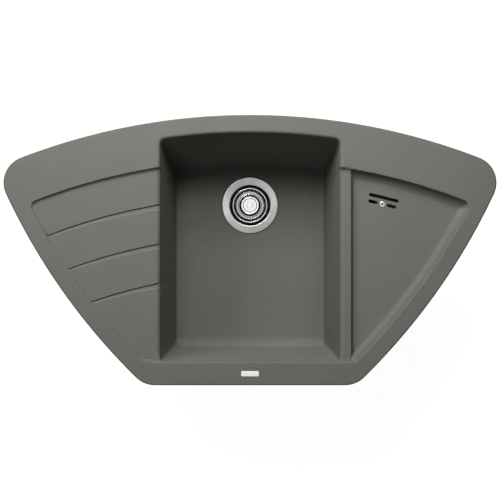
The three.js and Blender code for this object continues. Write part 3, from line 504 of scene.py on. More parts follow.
basin = {
    "left": 190,
    "drop": 18,
    "head": 1,  # the rounding of its back's head and foot, and the slope between them
    "foot": 20,
    "slope": 70,
    "leftHead": 0.8,
    "leftFoot": 1.5,
    "leftSlope": 65,
    "rightHead": 13.5,
    "rightFoot": 1.2,
    "rightSlope": 76,
    "corner": 14,
    "tip": 6,
    "frontTip": 3,
    "shellRun": 17,  # of its underside's slope
}

centreY = sink["depth"] - sink["radius"]
halfSpan = sink["backSpan"] / 2
backCorner = np.array([halfSpan, centreY + math.sqrt(sink["radius"] ** 2 - halfSpan**2)])
frontCorner = np.array([sink["frontSpan"] / 2, 0])
chord = backCorner - frontCorner
rise = math.sqrt(sink["radius"] ** 2 - chord @ chord / 4)
sideCentre = frontCorner + chord / 2 + rise * np.array([-chord[1], chord[0]]) / np.linalg.norm(chord)
frontEdge = ("line", 0, 1, 0)
rightEdge = ("arc", *sideCentre, sink["radius"])
backEdge = ("arc", 0, centreY, sink["radius"])
leftEdge = ("arc", -sideCentre[0], sideCentre[1], sink["radius"])
outlineEdges = (frontEdge, rightEdge, backEdge, leftEdge)
middle = (0, sink["depth"] / 2)
leastCorner = 3  # of an outline moved inwards
farBelow = -300  # the level to which cutters and the fine upper body run down
rimLevel = sink["height"]
recessLevel = rimLevel - recess["drop"]
slabLevel = recessLevel - sink["wall"]


def rimRing(distance):
    edges = [inset(edge, distance) for edge in outlineEdges]
    stops = [evenly(24), evenly(40), evenly(64), evenly(40)]
    return outline(edges, [sink["corner"] - distance] * 4, middle, stops, 16)[0]


recessInsets = [recess[name] for name in ("front", "side", "back", "side")]
recessEdges = [inset(edge, distance) for edge, distance in zip(outlineEdges, recessInsets)]
recessStops = [evenly(40), evenly(44), evenly(72), evenly(44)]
recessCorners = ("frontCorner", "backCorner", "backCorner", "frontCorner")


def recessRing(distance):
    corners = [recess[name] for name in recessCorners]
    edges = [inset(edge, distance) for edge in recessEdges]
    return outline(edges, [max(c - distance, leastCorner) for c in corners], middle, recessStops, 10)[0]


basinEdges = [recessEdges[1], recessEdges[2], ("line", 1, 0, basin["left"]), recessEdges[0]]
basinMiddle = (320, 300)


def basinRing(left, right, back):
    edges = [inset(edge, d) for edge, d in zip(basinEdges, (right, back, left, right))]
    rear, fore = [max(r - right / 2, leastCorner) for r in (basin["corner"], recess["frontCorner"])]
    stops = [evenly(44), evenly(36), evenly(44), evenly(3)]
    return outline(edges, [rear, basin["tip"], basin["frontTip"], fore], basinMiddle, stops, 10)[0]


recessSection = stepSection(recess["drop"], recess["head"], recess["foot"], recess["slope"], 16)
sideSection = stepSection(recess["drop"], recess["sideRounding"], recess["sideRounding"], recess["sideSlope"])
halfStep = stepSection(recess["drop"] / 2, recess["frontRounding"], recess["frontRounding"])
past = halfStep[-1] + (recess["frontLedge"], 0.02)
frontSection = np.concatenate([halfStep, halfStep[1:] + past])
frontSection[-1, 1] = recess["drop"]
frontSection[:, 1] = np.minimum(frontSection[:, 1], recess["drop"])
singleSection = stepSection(recess["drop"], recess["frontRounding"], recess["frontRounding"])
basinSection = stepSection(basin["drop"], basin["head"], basin["foot"], basin["slope"], 24)


def underRecess(side):  # a section of the basin's that starts at the recess's floor
    head, foot, slope = [basin[side + part] for part in ("Head", "Foot", "Slope")]
    return stepSection(basin["drop"] - recess["drop"], head, foot, slope, 24) + (0, recess["drop"])


basinLeftSection = underRecess("left")
basinRightSection = np.concatenate([sideSection, underRecess("right")[1:] + (sideSection[-1, 0], 0)])


# A depth on one section as the depth on another that gives the same drop.
def asDepthOn(section, other, depth):
    within = np.interp(np.interp(depth, other[:, 0], other[:, 1]), section[:, 1], section[:, 0])
    past = np.maximum(depth - other[-1, 0], 0) + np.minimum(depth, 0)
    return within + past


# How far in from both edges a corner's rounding reaches.
def cornerReach(first, second, radius):
    point = crossing(first, second, middle)
    return radius * (1 - inwardAt(first, point) @ inwardAt(second, point))


recessReach = [
    cornerReach(recessEdges[i], recessEdges[(i + 1) % 4], recess[name])
    for i, name in enumerate(recessCorners)
]
basinCorners = (basin["corner"], basin["tip"], basin["frontTip"], recess["frontCorner"])
basinReach = [cornerReach(basinEdges[i], basinEdges[(i + 1) % 4], c) for i, c in enumerate(basinCorners)]


# The depth from a side's edge: that of the plain section near the back edge, and of the other beyond it.
def steepened(depth, back, section, other):
    share = np.clip((back - recess["backReach"]) / recess["backBlend"], 0, 1)
    return depth + (asDepthOn(section, other, depth) - depth) * share


def cornered(depths, reaches):  # the least of the depths from an outline's edges, round at its corners
    return np.minimum.reduce([roundMin(depths[i], depths[(i + 1) % 4], r) for i, r in enumerate(reaches)])


def recessDepth(x, y):
    front, right, back, left = [depthFrom(edge, x, y) for edge in recessEdges]
    double = asDepthOn(recessSection, frontSection, front)
    single = asDepthOn(recessSection, singleSection, front)
    share = np.clip((np.abs(x) - bowl["width"] / 2) / bowl["corner"], 0, 1)
    front = single + (double - single) * share
    left, right = (steepened(side, back, recessSection, sideSection) for side in (left, right))
    return cornered([front, right, back, left], recessReach)


def basinDepth(x, y):
    right, back, left, front = [depthFrom(edge, x, y) for edge in basinEdges]
    left = asDepthOn(basinSection, basinLeftSection, left)
    right = steepened(right, back, basinSection, basinRightSection)
    front = asDepthOn(basinSection, basinRightSection, front)
    return cornered([right, back, left, front], basinReach)


def grooveAt(number):  # its radius about the back arc's centre, and the angles of its ends
    radius = sink["radius"] - groove["first"] - number * groove["pitch"]
    far = crossing(("arc", 0, centreY, radius), inset(recessEdges[3], groove["end"]), (-340, 255))
    return radius, math.asin(far[0] / radius), math.asin((6 - bowl["width"] / 2) / radius)


def grooveRun(along):  # the width of its ramp at a share of its length
    return groove["run"] * (groove["startRun"] + (1 - groove["startRun"]) * along)


def grooveDrop(x, y):
    drop = np.zeros_like(x)
    reach, angle = np.hypot(x, y - centreY), np.arctan2(x, y - centreY)
    fromLeft = depthFrom(recessEdges[3], x, y)
    for number in range(groove["count"]):
        radius, start, end = grooveAt(number)
        along = np.clip((angle - start) / (end - start), 0, 1)
        deep = groove["depth"] * (groove["startDepth"] + (1 - groove["startDepth"]) * along)
        wide = grooveRun(along)
        out = reach - radius
        back = np.clip(1 - out / groove["step"], 0, 1) * (out > 0)
        slit = np.clip(1 + (out + groove["slit"]) / groove["step"], 0, 1) * (out <= 0)
        ramp = deep * (1 - np.clip(-out / wide, 0, 1) ** (4 + 3 * along)) * (out <= 0)
        fade = np.clip((fromLeft - groove["end"]) / groove["fade"], 0, 1)
        drop += (ramp + (groove["slitDepth"] - ramp) * slit + groove["slitDepth"] * back) * fade * (x < 0)
    return drop


# The level of the sink's upper face, as if the bowl weren't there.
def topLevel(x, y):
    x, y = np.asarray(x, float), np.asarray(y, float)
    step = rimLevel - np.interp(recessDepth(x, y), *recessSection.T)
    lift = np.maximum(-bowl["width"] / 2 - x, 0) * math.tan(math.radians(recess["fall"]))
    floor = recessLevel + lift
    level = np.where(lift > 0, softMax(step, floor, np.clip(lift, 1e-6, 1.5)), step)
    level = np.minimum(level, rimLevel) - grooveDrop(x, y)
    return np.minimum(level, rimLevel - np.interp(basinDepth(x, y), *basinSection.T))


strainerSpot = (0, bowl["strainer"])


# The bowl's mouth, with closer points where the grooves, the recess's back step and the ridge reach it.
def bowlOutline(insets, corner, frontCorner):
    half = bowl["width"] / 2
    front, right, back, left = insets
    edges = [
        ("line", 0, 1, bowl["front"] + front), ("line", -1, 0, right - half),
        inset(backEdge, bowl["back"] + back), ("line", 1, 0, left - half),
    ]
    low, high = bowl["front"] + bowl["frontCorner"], bowlTop - bowl["corner"]
    up = np.unique(np.concatenate([np.linspace(low, high, 42)[1:-1], *closeStops]))
    shares = (up[(up > low + 1) & (up < high - 1)] - low) / (high - low)
    stops = [evenly(36), shares, evenly(36), 1 - shares[::-1]]
    return outline(edges, [frontCorner, corner, corner, frontCorner], middle, stops, 12)


def onSide(radius, x):  # the y of an arc about the back edge's centre
    return centreY + math.sqrt(radius**2 - x**2)


bowlTop = onSide(sink["radius"] - bowl["back"], bowl["width"] / 2)
edgeX = bowl["width"] / 2 + bowl["sideEdge"]
stepTop = onSide(sink["radius"] - recess["back"], edgeX)
closeStops = [stepTop - np.linspace(-1.5, 9.5, 20)]
acrossGroove = np.array([0.8, 0.2, 0, -1.4, -1.6, -3.5, -5.5, -7, -8, -9, -9.6, -10, -11])
closeStops += [onSide(grooveAt(number)[0], edgeX) + acrossGroove for number in range(groove["count"])]

mouth, mouthOut = bowlOutline((0, 0, 0, 0), bowl["corner"], bowl["frontCorner"])
edgeLevel = topLevel(*(mouth + 5 * mouthOut).T)
sunk = np.clip((rimLevel - edgeLevel) / recess["drop"], 0, 1)
edgeRadius = bowl["edge"] + (bowl["sideEdge"] - bowl["edge"]) * sunk
frontShare = np.clip((mouth[:, 1] - bowl["front"]) / 16, 0, 1) ** 2
edgeRadius = bowl["frontEdge"] + (edgeRadius - bowl["frontEdge"]) * frontShare


def bowlEdgeRing(angle):
    points = mouth + mouthOut * (edgeRadius * (1 - math.sin(angle)))[:, None]
    return points, topLevel(*points.T) - edgeRadius * (1 - math.cos(angle))


# Rings of the bowl from its mouth down to its floor, moved out by the wall for its outside.
def bowlWall(offset, mouthZ, head=()):
    floor = bowl["floor"] - offset
    feet = np.array(bowl["feet"]) + offset
    drafts = np.array(bowl["drafts"])
    heights = recessLevel - floor - feet
    slopes = np.arctan(drafts / heights)
    ends = drafts * (1 + feet * np.sin(slopes) / heights) - offset
    x, y = mouthOut.T
    weights = np.column_stack([np.maximum(way, 0) ** 2 for way in (-y, x, y, -x)])
    weights /= weights.sum(axis=1, keepdims=True)
    corners = np.array([bowl["corner"], bowl["frontCorner"]]) + offset
    footCorners = np.array([bowl["footCorner"], bowl["frontFootCorner"]]) + offset
    low = floor + weights @ (feet * (1 - np.sin(slopes)))
    rings = list(head)
    for share in (0.01, 0.03, 0.08, 0.16, 0.3, 0.45, 0.6, 0.75, 0.9, 1.0):
        radii = corners + (footCorners - corners) * share
        points, _ = bowlOutline(ends * share - offset * (1 - share), *radii)
        rings.append((points, mouthZ + (low - mouthZ) * share))
    footSteps = 12
    for step in range(1, footSteps + 1):
        turns = slopes + (math.pi / 2 - slopes) * step / footSteps
        gains = feet * (np.cos(slopes) - np.cos(turns))
        points, _ = bowlOutline(ends + gains, *np.maximum(footCorners - gains.mean(), 5))
        rings.append((points, floor + weights @ (feet * (1 - np.sin(turns)))))
    return rings


def floorLift(points):
    away = np.linalg.norm(points - strainerSpot, axis=1)
    return bowl["floorFall"] * np.maximum(away - bowl["seat"], 0)


def upperRings():
    head = [bowlEdgeRing(math.radians(a)) for a in (0, 12, 25, 38, 52, 66, 78, 90)]
    rings = bowlWall(0, head[-1][1], head)
    deep = [(points, z + floorLift(points) * np.clip(-z / 160 - 0.1, 0, 1) ** 4) for points, z in rings]
    last = deep[-1][0]
    away = last - strainerSpot
    way = away / np.linalg.norm(away, axis=1)[:, None]
    seat, hole = bowl["seat"], bowl["hole"] + 0.3
    for share in (0.2, 0.4, 0.6, 0.8, 0.93):
        points = last + (strainerSpot + way * (seat + 0.5) - last) * share
        deep.append((points, bowl["floor"] + floorLift(points)))
    down = bowl["floor"] - bowl["seatDrop"]
    for radius, z in (
        (seat + 0.5, bowl["floor"]), (seat + 0.15, bowl["floor"] - 0.15), (seat, bowl["floor"] - 0.5),
        (seat, down + 0.4), (seat - 0.4, down), (hole + 0.4, down), (hole, down - 0.4), (hole, farBelow),
    ):
        deep.append((strainerSpot + way * radius, np.full(len(way), z)))
    return deep


# Short outlines, anticlockwise: a bar with round ends, also with its outward normals, a box and a circle.
def roundedBar(length, width, steps=12):
    half, radius = (length - width) / 2, width / 2
    right = np.linspace(-math.pi / 2, math.pi / 2, steps)
    angles = np.concatenate([right, right + math.pi])
    normals = np.column_stack([np.cos(angles), np.sin(angles)])
    shift = np.where(np.arange(2 * steps) < steps, half, -half)
    return normals * radius + np.column_stack([shift, 0 * shift]), normals


def roundedBox(length, width, radius, steps=8):
    points = []
    for i, (sx, sy) in enumerate(((1, -1), (1, 1), (-1, 1), (-1, -1))):
        angles = np.linspace(0, math.pi / 2, steps) + math.pi / 2 * (i - 1)
        way = np.column_stack([np.cos(angles), np.sin(angles)])
        points.append(way * radius + (sx * (length / 2 - radius), sy * (width / 2 - radius)))
    return np.concatenate(points)


def circle(radius, count):
    angles = 2 * math.pi * np.arange(count) / count
    return radius * np.column_stack([np.cos(angles), np.sin(angles)])


overflow = {
    "x": 254,
    "inset": 125.5,  # from the back edge to the long slot
    "slot": 6,
    "long": 58,
    "short": 18,
    "shortX": 18,
    "rows": 12.3,
    "screw": 5.3,  # radius of the countersink and of the bore under it
    "shank": 2.3,
    "screwHead": 4.7,
    "screwShank": 2,
    "socket": 3.5,  # a hexagon's width across its flats
    "edge": 0.3,
}
overflowRadius = sink["radius"] - overflow["inset"]
overflowTurn = math.asin(overflow["x"] / overflowRadius)
overflowY = centreY + overflowRadius * math.cos(overflowTurn)


def turnedPoints(points, angle):
    c, s = math.cos(angle), math.sin(angle)
    return np.asarray(points) @ np.array([[c, s], [-s, c]])


def atOverflow(points):
    return turnedPoints(points, -overflowTurn) + (overflow["x"], overflowY)


basinFloor = rimLevel - basin["drop"]
badge = {"width": 33.6, "height": 10, "corner": 2, "y": 22, "gap": 0.3, "pocket": 0.9}


# The openings through the sink apart from the bowl, each as rings (points, z) from its upper edge down.
def openings():
    rows = []
    bars = [(overflow["long"], 0, 0)]
    bars += [(overflow["short"], side * overflow["shortX"], -overflow["rows"]) for side in (-1, 1)]
    soft = overflow["edge"]
    for length, x, y in bars:
        points, normals = roundedBar(length, overflow["slot"])
        rings = []
        for angle in np.radians((0, 30, 60, 90)):
            grown = points + (x, y) + normals * soft * (1 - math.sin(angle))
            rings.append((atOverflow(grown), basinFloor - soft * (1 - math.cos(angle))))
        rows.append([*rings, (rings[-1][0], farBelow)])
    head, shank = overflow["screw"], overflow["shank"]
    screw = [(head, basinFloor), (shank, basinFloor - head + shank), (shank, farBelow)]
    rows.append([(atOverflow(circle(r, 32) + (0, -overflow["rows"])), z) for r, z in screw])
    return rows


# Faces that fill an outline around holes, with given points and rows of joined points inside it.
def filled(outer, holes, rows=(), loose=()):
    points = [tuple(p) for loop in (outer, *holes) for p in loop]
    faces, start = [], 0
    for loop in (outer, *holes):
        faces.append(list(range(start, start + len(loop))))
        start += len(loop)
    edges = []
    for row in rows:
        edges += [(len(points) + i, len(points) + i + 1) for i in range(len(row) - 1)]
        points += [tuple(p) for p in row]
    points += [tuple(p) for p in loose]
    made = delaunay_2d_cdt([Vector(p) for p in points], edges, faces, 1, 1e-5)
    triangles = [face for face, within in zip(made[2], made[5]) if within == [0]]
    return np.array([tuple(p) for p in made[0]]), triangles


# The parts of a row of points that a test keeps, as separate rows.
def runsOf(points, keep):
    runs, current = [], []
    for point, kept in zip(points, keep):
        if kept:
            current.append(point)
        elif current:
            runs.append(current)
            current = []
    return [run for run in [*runs, current] if len(run) > 1]


def distanceTo(loops, points):
    tree = KDTree(sum(len(loop) for loop in loops))
    for i, point in enumerate(p for loop in loops for p in loop):
        tree.insert((*point, 0), i)
    tree.balance()
    return np.array([tree.find((*point, 0))[2] for point in points])


def closed(loop):
    return np.concatenate([loop, loop[:1]])


def inside(loop, points):
    x, y = np.asarray(points).T
    odd = np.zeros(len(x), bool)
    for (x0, y0), (x1, y1) in zip(loop, np.roll(loop, -1, axis=0)):
        crosses = (y0 > y) != (y1 > y)
        with np.errstate(divide="ignore", invalid="ignore"):
            odd ^= crosses & (x < (x1 - x0) * (y - y0) / (y1 - y0) + x0)
    return odd


# Where the upper face bends: insets of the recess's rows, drops of the basin's, and shares of a groove's run.
recessBends = (-1.5, 0, 0.25, 0.5, 0.75, 1, 1.25, 1.6, 2, 2.4, 2.75, 3.3, 4, 4.9, 6, 6.8, 8.5)
basinBends = (0, 0.4, 1, 2, 3.2, 4.5, 6, 6.15, 6.5, 7.1, 8, 9.2, 10.5, 12, 13.5, 14.8, 16, 16.8)
basinBends += (17.4, 17.75, 18)
rampBends = (0.4, 0.55, 0.68, 0.78, 0.86, 0.93, 1, 1.07)


# Rows of points along those bends, so that its creases are crisp.
def bendRows(bowlLoop, holes):
    basinLoop = basinRing(-0.5, -0.5, -0.5)
    rows = [(closed(recessRing(distance)), "recess") for distance in recessBends]
    for drop in basinBends:
        past = -0.3 if drop == 0 else 0.4 if drop == basin["drop"] else 0
        sections = (basinLeftSection, basinRightSection, basinSection)
        sides = [np.interp(drop, section[:, 1], section[:, 0]) + past for section in sections]
        rows.append((closed(basinRing(*sides)), "basin"))
    for out in (0.0, 0.45, 0.9, 1.6, 2.6, 3.6):
        x = np.full(60, basin["left"] - 6 - out + 3)
        rows.append((np.column_stack([x, np.linspace(50, 425, 60)]), "ridge"))
    slit, step = groove["slit"], groove["step"]
    for number in range(groove["count"]):
        radius, start, end = grooveAt(number)
        angles = np.linspace(start + 0.0002, end - 0.0012, 60)
        wide = grooveRun((angles - start) / (end - start))
        reaches = [radius + out for out in (0.8, step, 0, -slit, -slit - step)]
        for reach in reaches + [radius - share * wide for share in rampBends]:
            points = np.column_stack([reach * np.sin(angles), centreY + reach * np.cos(angles)])
            rows.append((points, "groove"))
    leastDepth = {"ridge": 9, "groove": 2.4}  # in from the recess's edge
    kept = []
    for points, kind in rows:
        clear = ~inside(bowlLoop, points) & (distanceTo([bowlLoop], points) > 1.4)
        clear &= distanceTo([dense(hole) for hole in holes], points) > 1
        if kind in ("recess", "groove"):
            clear &= ~inside(basinLoop, points) & (distanceTo([dense(basinLoop)], points) > 1)
        if kind in leastDepth:
            clear &= recessDepth(*points.T) > leastDepth[kind]
        kept += runsOf(points, clear)
    return kept


# A loop's points, no further apart than the gap.
def dense(loop, gap=1.5):
    points = []
    for start, end in zip(loop, np.roll(loop, -1, axis=0)):
        count = max(int(np.linalg.norm(end - start) / gap), 1)
        points.append(start + np.outer(np.arange(count) / count, end - start))
    return np.concatenate(points)


# The sink's upper face in plan: the bends' rows, and between them points at wider gaps.
def upperFace(rimLoop, bowlLoop, holes):
    rows = bendRows(bowlLoop, holes)
    loose = []
    for gap in (7, 14):  # round the bowl, where the light's falloff shows
        out = bowl["sideEdge"] + gap
        loose += list(bowlOutline((-out,) * 4, bowl["corner"] + out, bowl["corner"] + out)[0][::2])
    spacing = 13
    x, y = np.meshgrid(np.arange(-460.0, 461, spacing), np.arange(4.0, 508, spacing))
    x[1::2] += spacing / 2
    grid = np.column_stack([x.ravel(), y.ravel()])
    taken = [dense(rimLoop, 8), *[np.array(row) for row in rows], dense(bowlLoop, 8), *holes]
    loose = np.array(loose)
    loose = loose[(distanceTo(taken, loose) > 4) & inside(rimRing(8), loose)]
    grid = grid[inside(rimRing(9), grid)]
    grid = grid[(distanceTo([*taken, loose], grid) > 7) & ~inside(bowlLoop, grid)]
    for hole in holes:
        grid = grid[~inside(hole, grid)]
    return filled(rimLoop, [bowlLoop, *holes], rows, [*loose, *grid])


# The fine, visible side: the upper face, the rim, the bowl and the openings, down to a flat end far below.
def upperBody():
    vertices, faces = [], []

    def addFace(points, z, triangles, flip=False):
        start = len(vertices)
        vertices.extend(place(x, y, h) for (x, y), h in zip(points, np.broadcast_to(z, len(points))))
        faces.extend(tuple(start + i for i in (t[::-1] if flip else t)) for t in triangles)

    def addStrip(rings):
        for (first, firstZ), (second, secondZ) in zip(rings, rings[1:]):
            start, count = len(vertices), len(first)
            vertices.extend(ring3(first, firstZ) + ring3(second, secondZ))
            faces.extend(bridge(range(start, start + count), range(start + count, start + 2 * count)))

    edge = stepSection(sink["edgeDrop"], sink["rounding"], 0.01, sink["edgeSlope"], 6)
    rim = [(rimRing(edge[-1, 0] - run), rimLevel - drop) for run, drop in [*edge[:7], edge[-1]]]
    rim += [(rimRing(0), 1), (rimRing(0.25), 0.25), (rimRing(1), 0), (rimRing(1), farBelow)]
    well = upperRings()
    through = openings()
    gap, pocketFloor = badge["gap"], rimLevel - badge["pocket"]
    pocket = roundedBox(badge["width"] + 2 * gap, badge["height"] + 2 * gap, badge["corner"] + gap)
    pocket = pocket + (0, badge["y"])
    holes = [rings[0][0] for rings in through] + [pocket]
    points, triangles = upperFace(rim[0][0], well[0][0], holes)
    print("upper face:", len(points), "points")
    addFace(points, topLevel(*points.T), triangles)
    for rings in (rim, well, *through, [(pocket, rimLevel), (pocket, pocketFloor)]):
        addStrip(rings)
    addFace(pocket, pocketFloor, [tuple(range(len(pocket)))])
    points, triangles = filled(rim[-1][0], [rings[-1][0] for rings in (well, *through)])
    addFace(points, farBelow, triangles, flip=True)
    return cleanMesh("upper", vertices, faces)


clamps = {
    "inset": 24,
    "back": (290, 410),
    "front": 110,
    "pad": 16,
    "padRadius": 7,
    "padDrop": 20,
    "hole": 4.5,
    "holeTop": -9.7,
}
taps = {"radius": 17.5, "x": 215, "inset": 42, "skin": 4}


# The clamps' places, each with the angle of the way out from the sink.
def clampPlaces():
    reach = sink["radius"] - clamps["inset"]
    spots = []
    for x in (-clamps["back"][1], -clamps["back"][0], *clamps["back"]):
        spots.append((x, onSide(reach, x), math.pi / 2 - math.asin(x / reach)))
    half = (frontCorner + backCorner) / 2 - sideCentre
    way = math.atan2(half[1], half[0])
    side = sideCentre + half / np.linalg.norm(half) * reach
    spots.append((*side, way))
    for x in (clamps["front"], -clamps["front"]):
        spots.append((x, clamps["inset"], -math.pi / 2))
    spots.append((-side[0], side[1], math.pi - way))
    return spots


clampSpots = clampPlaces()


def solidThrough(rings, capped=True):
    return cleanMesh("solid", *lofted([ring3(points, z) for points, z in rings], capped))


# An upright prism over an outline, for cutting or joining.
def prism(points, bottom, top):
    return solidThrough([(points, bottom), (points, top)])


# The underside and the outside of the walls, with the pads for the clamps and the blind holes in them.
def lowerBody():
    soft, above = 1.5, 20  # edge rounding of the skirt, and a level clear above the sink
    lip = solidThrough([(rimRing(-1), 0), (rimRing(-1), above)])
    slab = solidThrough([(rimRing(sink["lip"]), slabLevel), (rimRing(sink["lip"]), above)])
    outer, inner, drop = sink["lip"], sink["lip"] + sink["skirt"], -sink["skirtDrop"]
    half = [(0, 10), (0, drop + soft), (soft * 0.3, drop + soft * 0.3), (soft, drop)]
    rings = [(rimRing(outer + x), z) for x, z in half] + [(rimRing(inner - x), z) for x, z in half[::-1]]
    skirt = solidThrough(rings, capped=False)
    wall = sink["wall"]
    mouthRing, _ = bowlOutline((-wall,) * 4, bowl["corner"] + wall, bowl["frontCorner"] + wall)
    shell = solidThrough([(mouthRing, 12), *bowlWall(wall, np.full(len(mouth), recessLevel))])
    run, under = basin["shellRun"], basinFloor - wall
    rows = [(0, run - wall, under), (-wall * 0.7, run * 0.45 - wall * 0.6, under + 3)]
    rows += [(-wall, 1 - wall * 0.1, slabLevel - 2), (-wall, 0, slabLevel + 2), (-wall, 0, 4)]
    basinShell = solidThrough([(basinRing(left, others, others), z) for left, others, z in rows])
    length, width = clamps["pad"] + 2 * clamps["padRadius"], 2 * clamps["padRadius"]
    bar, small = roundedBar(length, width, 10)[0], roundedBar(length - 2, width - 2, 10)[0]
    pads, holes = [], []
    for x, y, turn in clampSpots:
        wide, narrow = [turnedPoints(p - (clamps["pad"] / 2, 0), turn) + (x, y) for p in (bar, small)]
        low = -clamps["padDrop"]
        pads.append(solidThrough([(narrow, low), (wide, low + 1), (wide, slabLevel + 2)]))
        holes.append(prism(circle(clamps["hole"], 32) + (x, y), -40, clamps["holeTop"]))
    for side in (-1, 1):
        spot = (side * taps["x"], onSide(sink["radius"] - taps["inset"], taps["x"]))
        holes.append(prism(circle(taps["radius"], 64) + spot, -40, rimLevel - taps["skin"]))
    outer, inner, top = sink["tapeInset"], sink["tapeInset"] + sink["tapeWidth"], sink["tapeDepth"]
    channel = [(rimRing(d), z) for d, z in ((outer, -2), (outer, top), (inner, top), (inner, -2))]
    holes.append(solidThrough(channel, capped=False))
    return combined(lip, *joins(slab, skirt, shell, basinShell, *pads), *cuts(*holes))


upper, lower = upperBody(), lowerBody()
sinkMesh = combined(upper, ("INTERSECT", lower))
print("sink body:", len(sinkMesh.polygons), "faces")
fitted("sinkBody", sinkMesh, "sink", castComposite(), ["sink_body"], 40)


# Turned and drawn parts


def roundCorner(before, point, after, reaches, count):
    ways = [before - point, after - point]
    start, end = [point + way / np.linalg.norm(way) * reach for way, reach in zip(ways, reaches)]
    return [(1 - t) ** 2 * start + 2 * t * (1 - t) * point + t**2 * end for t in np.linspace(0, 1, count)]


# A section with its corners rounded. Points on the axis stay as they are.
def softened(section, radius):
    points = [np.array(p, float) for p in section]
    onAxis = points[0][0] <= 0
    made = []
    for i, point in enumerate(points):
        before, after = points[i - 1], points[(i + 1) % len(points)]
        if onAxis and i in (0, len(points) - 1):
            made.append(point)
            continue
        reaches = [min(radius, 0.45 * np.linalg.norm(other - point)) for other in (before, after)]
        made += roundCorner(before, point, after, reaches, 5)
    return made


# A body about an upright axis from a closed section of (radius, z) pairs, or one from axis to axis.
# swell moves a point outwards by its angle and height.
def turned(section, centre=(0, 0), sides=96, swell=None):
    angles = 2 * math.pi * np.arange(sides) / sides
    rings = []
    for radius, z in section:
        reach = radius + (swell(angles, radius, z) if swell else 0 * angles)
        across, along = centre[0] + reach * np.cos(angles), centre[1] + reach * np.sin(angles)
        rings.append([place(x, y, z) for x, y in zip(across, along)])
    return cleanMesh("turned", *lofted(rings, capped=section[0][0] <= 0))


def rodSection(radius, low, high):
    return [(0, low), (radius, low), (radius, high), (0, high)]


def washer(inner, outer, bottom, top, radius=0.4):
    return softened([(inner, bottom), (outer, bottom), (outer, top), (inner, top)], radius)


# Several upright prisms as one cutter.
def prisms(outlines, bottom, top):
    vertices, faces = [], []
    for points in outlines:
        around, sides = lofted([ring3(points, bottom), ring3(points, top)])
        faces += [tuple(i + len(vertices) for i in face) for face in sides]
        vertices += around
    return cleanMesh("prisms", vertices, faces)


strainerAxis = place(*strainerSpot, 0)[:2]
steelLook = finish("brushedStainless", strainerAxis)
flangeLook = finish("brushedStainless", strainerAxis, [(17, 34, 0.94)])  # painted shade over the inside of its cup
polishedLook = finish("polishedStainless", strainerAxis)
rubberLook = finish("mouldedEpdm")
plasticLook = finish("mouldedPolypropylene")
pipeLook = finish("corrugatedPolypropylene")
brassLook = finish("turnedBrass")
zincLook = finish("zincPlatedSteel")

strainer = {
    "radius": 57,
    "sheet": 1.3,
    "stand": 0.6,
    "cup": 40.8,
    "cupDraft": 1.3,
    "cupUpper": 13,
    "seatDrop": 6,
    "seatRun": 5.5,
    "cupDepth": 28,
    "openings": 6,
    "openingShare": 0.76,
    "hub": 9,
    "gasket": 1.2,
    "gasketBore": 48,
}
flangeTop = bowl["floor"] + strainer["stand"]
flangeBottom = flangeTop - strainer["sheet"]
seatTop = flangeTop - strainer["cupUpper"]
seatBottom = seatTop - strainer["seatDrop"]
cupFloor = flangeTop - strainer["cupDepth"]
seatRadius = strainer["cup"] - strainer["cupDraft"]
throat = seatRadius - strainer["seatRun"]


# An outline between two radii, widening outwards, with rounded corners.
def sectorOutline(inner, outer, half, corner=1.5):
    points = []
    for radius, side, spin in ((inner, -1, 0), (outer, -1, 1), (outer, 1, 2), (inner, 1, 3)):
        angle = side * (half - corner / radius)
        away = radius + (corner if radius == inner else -corner)
        middle = away * np.array([math.cos(angle), math.sin(angle)])
        start = math.pi + math.pi / 2 * spin + side * half
        for a in np.linspace(start, start + math.pi / 2, 5):
            points.append(middle + corner * np.array([math.cos(a), math.sin(a)]))
    return np.array(points)


# An outline repeated round the strainer's axis.
def ringOf(points, count, shift=0):
    pitch = 2 * math.pi / count
    return [turnedPoints(points, (i + shift) * pitch) + strainerSpot for i in range(count)]


def strainerFlange():
    sheet, outer, cup = strainer["sheet"], strainer["radius"], strainer["cup"]
    section = [
        (0, cupFloor - sheet), (throat + sheet, cupFloor - sheet), (throat + sheet, seatBottom - sheet / 2),
        (seatRadius + sheet, seatTop - sheet / 2), (cup + sheet, flangeBottom - 0.6),
        (cup + sheet + 1.2, flangeBottom), (outer - 0.3, flangeBottom), (outer, flangeBottom + 0.35),
        (outer - 0.5, flangeTop - 0.35), (outer - 2.2, flangeTop), (cup + 2.4, flangeTop - 0.05),
        (cup + 0.6, flangeTop - 0.55), (cup, flangeTop - 2), (seatRadius, seatTop), (throat, seatBottom),
        (throat, cupFloor), (0, cupFloor),
    ]
    count, hole = strainer["openings"], circle(waste["screw"] + 0.3, 24) + strainerSpot
    opening = sectorOutline(strainer["hub"], throat - sheet, math.pi / count * strainer["openingShare"])
    cutters = [prism(points, cupFloor - 5, cupFloor + 2) for points in (*ringOf(opening, count), hole)]
    return combined(turned(softened(section, 0.9), strainerSpot, 128), *cuts(*cutters))


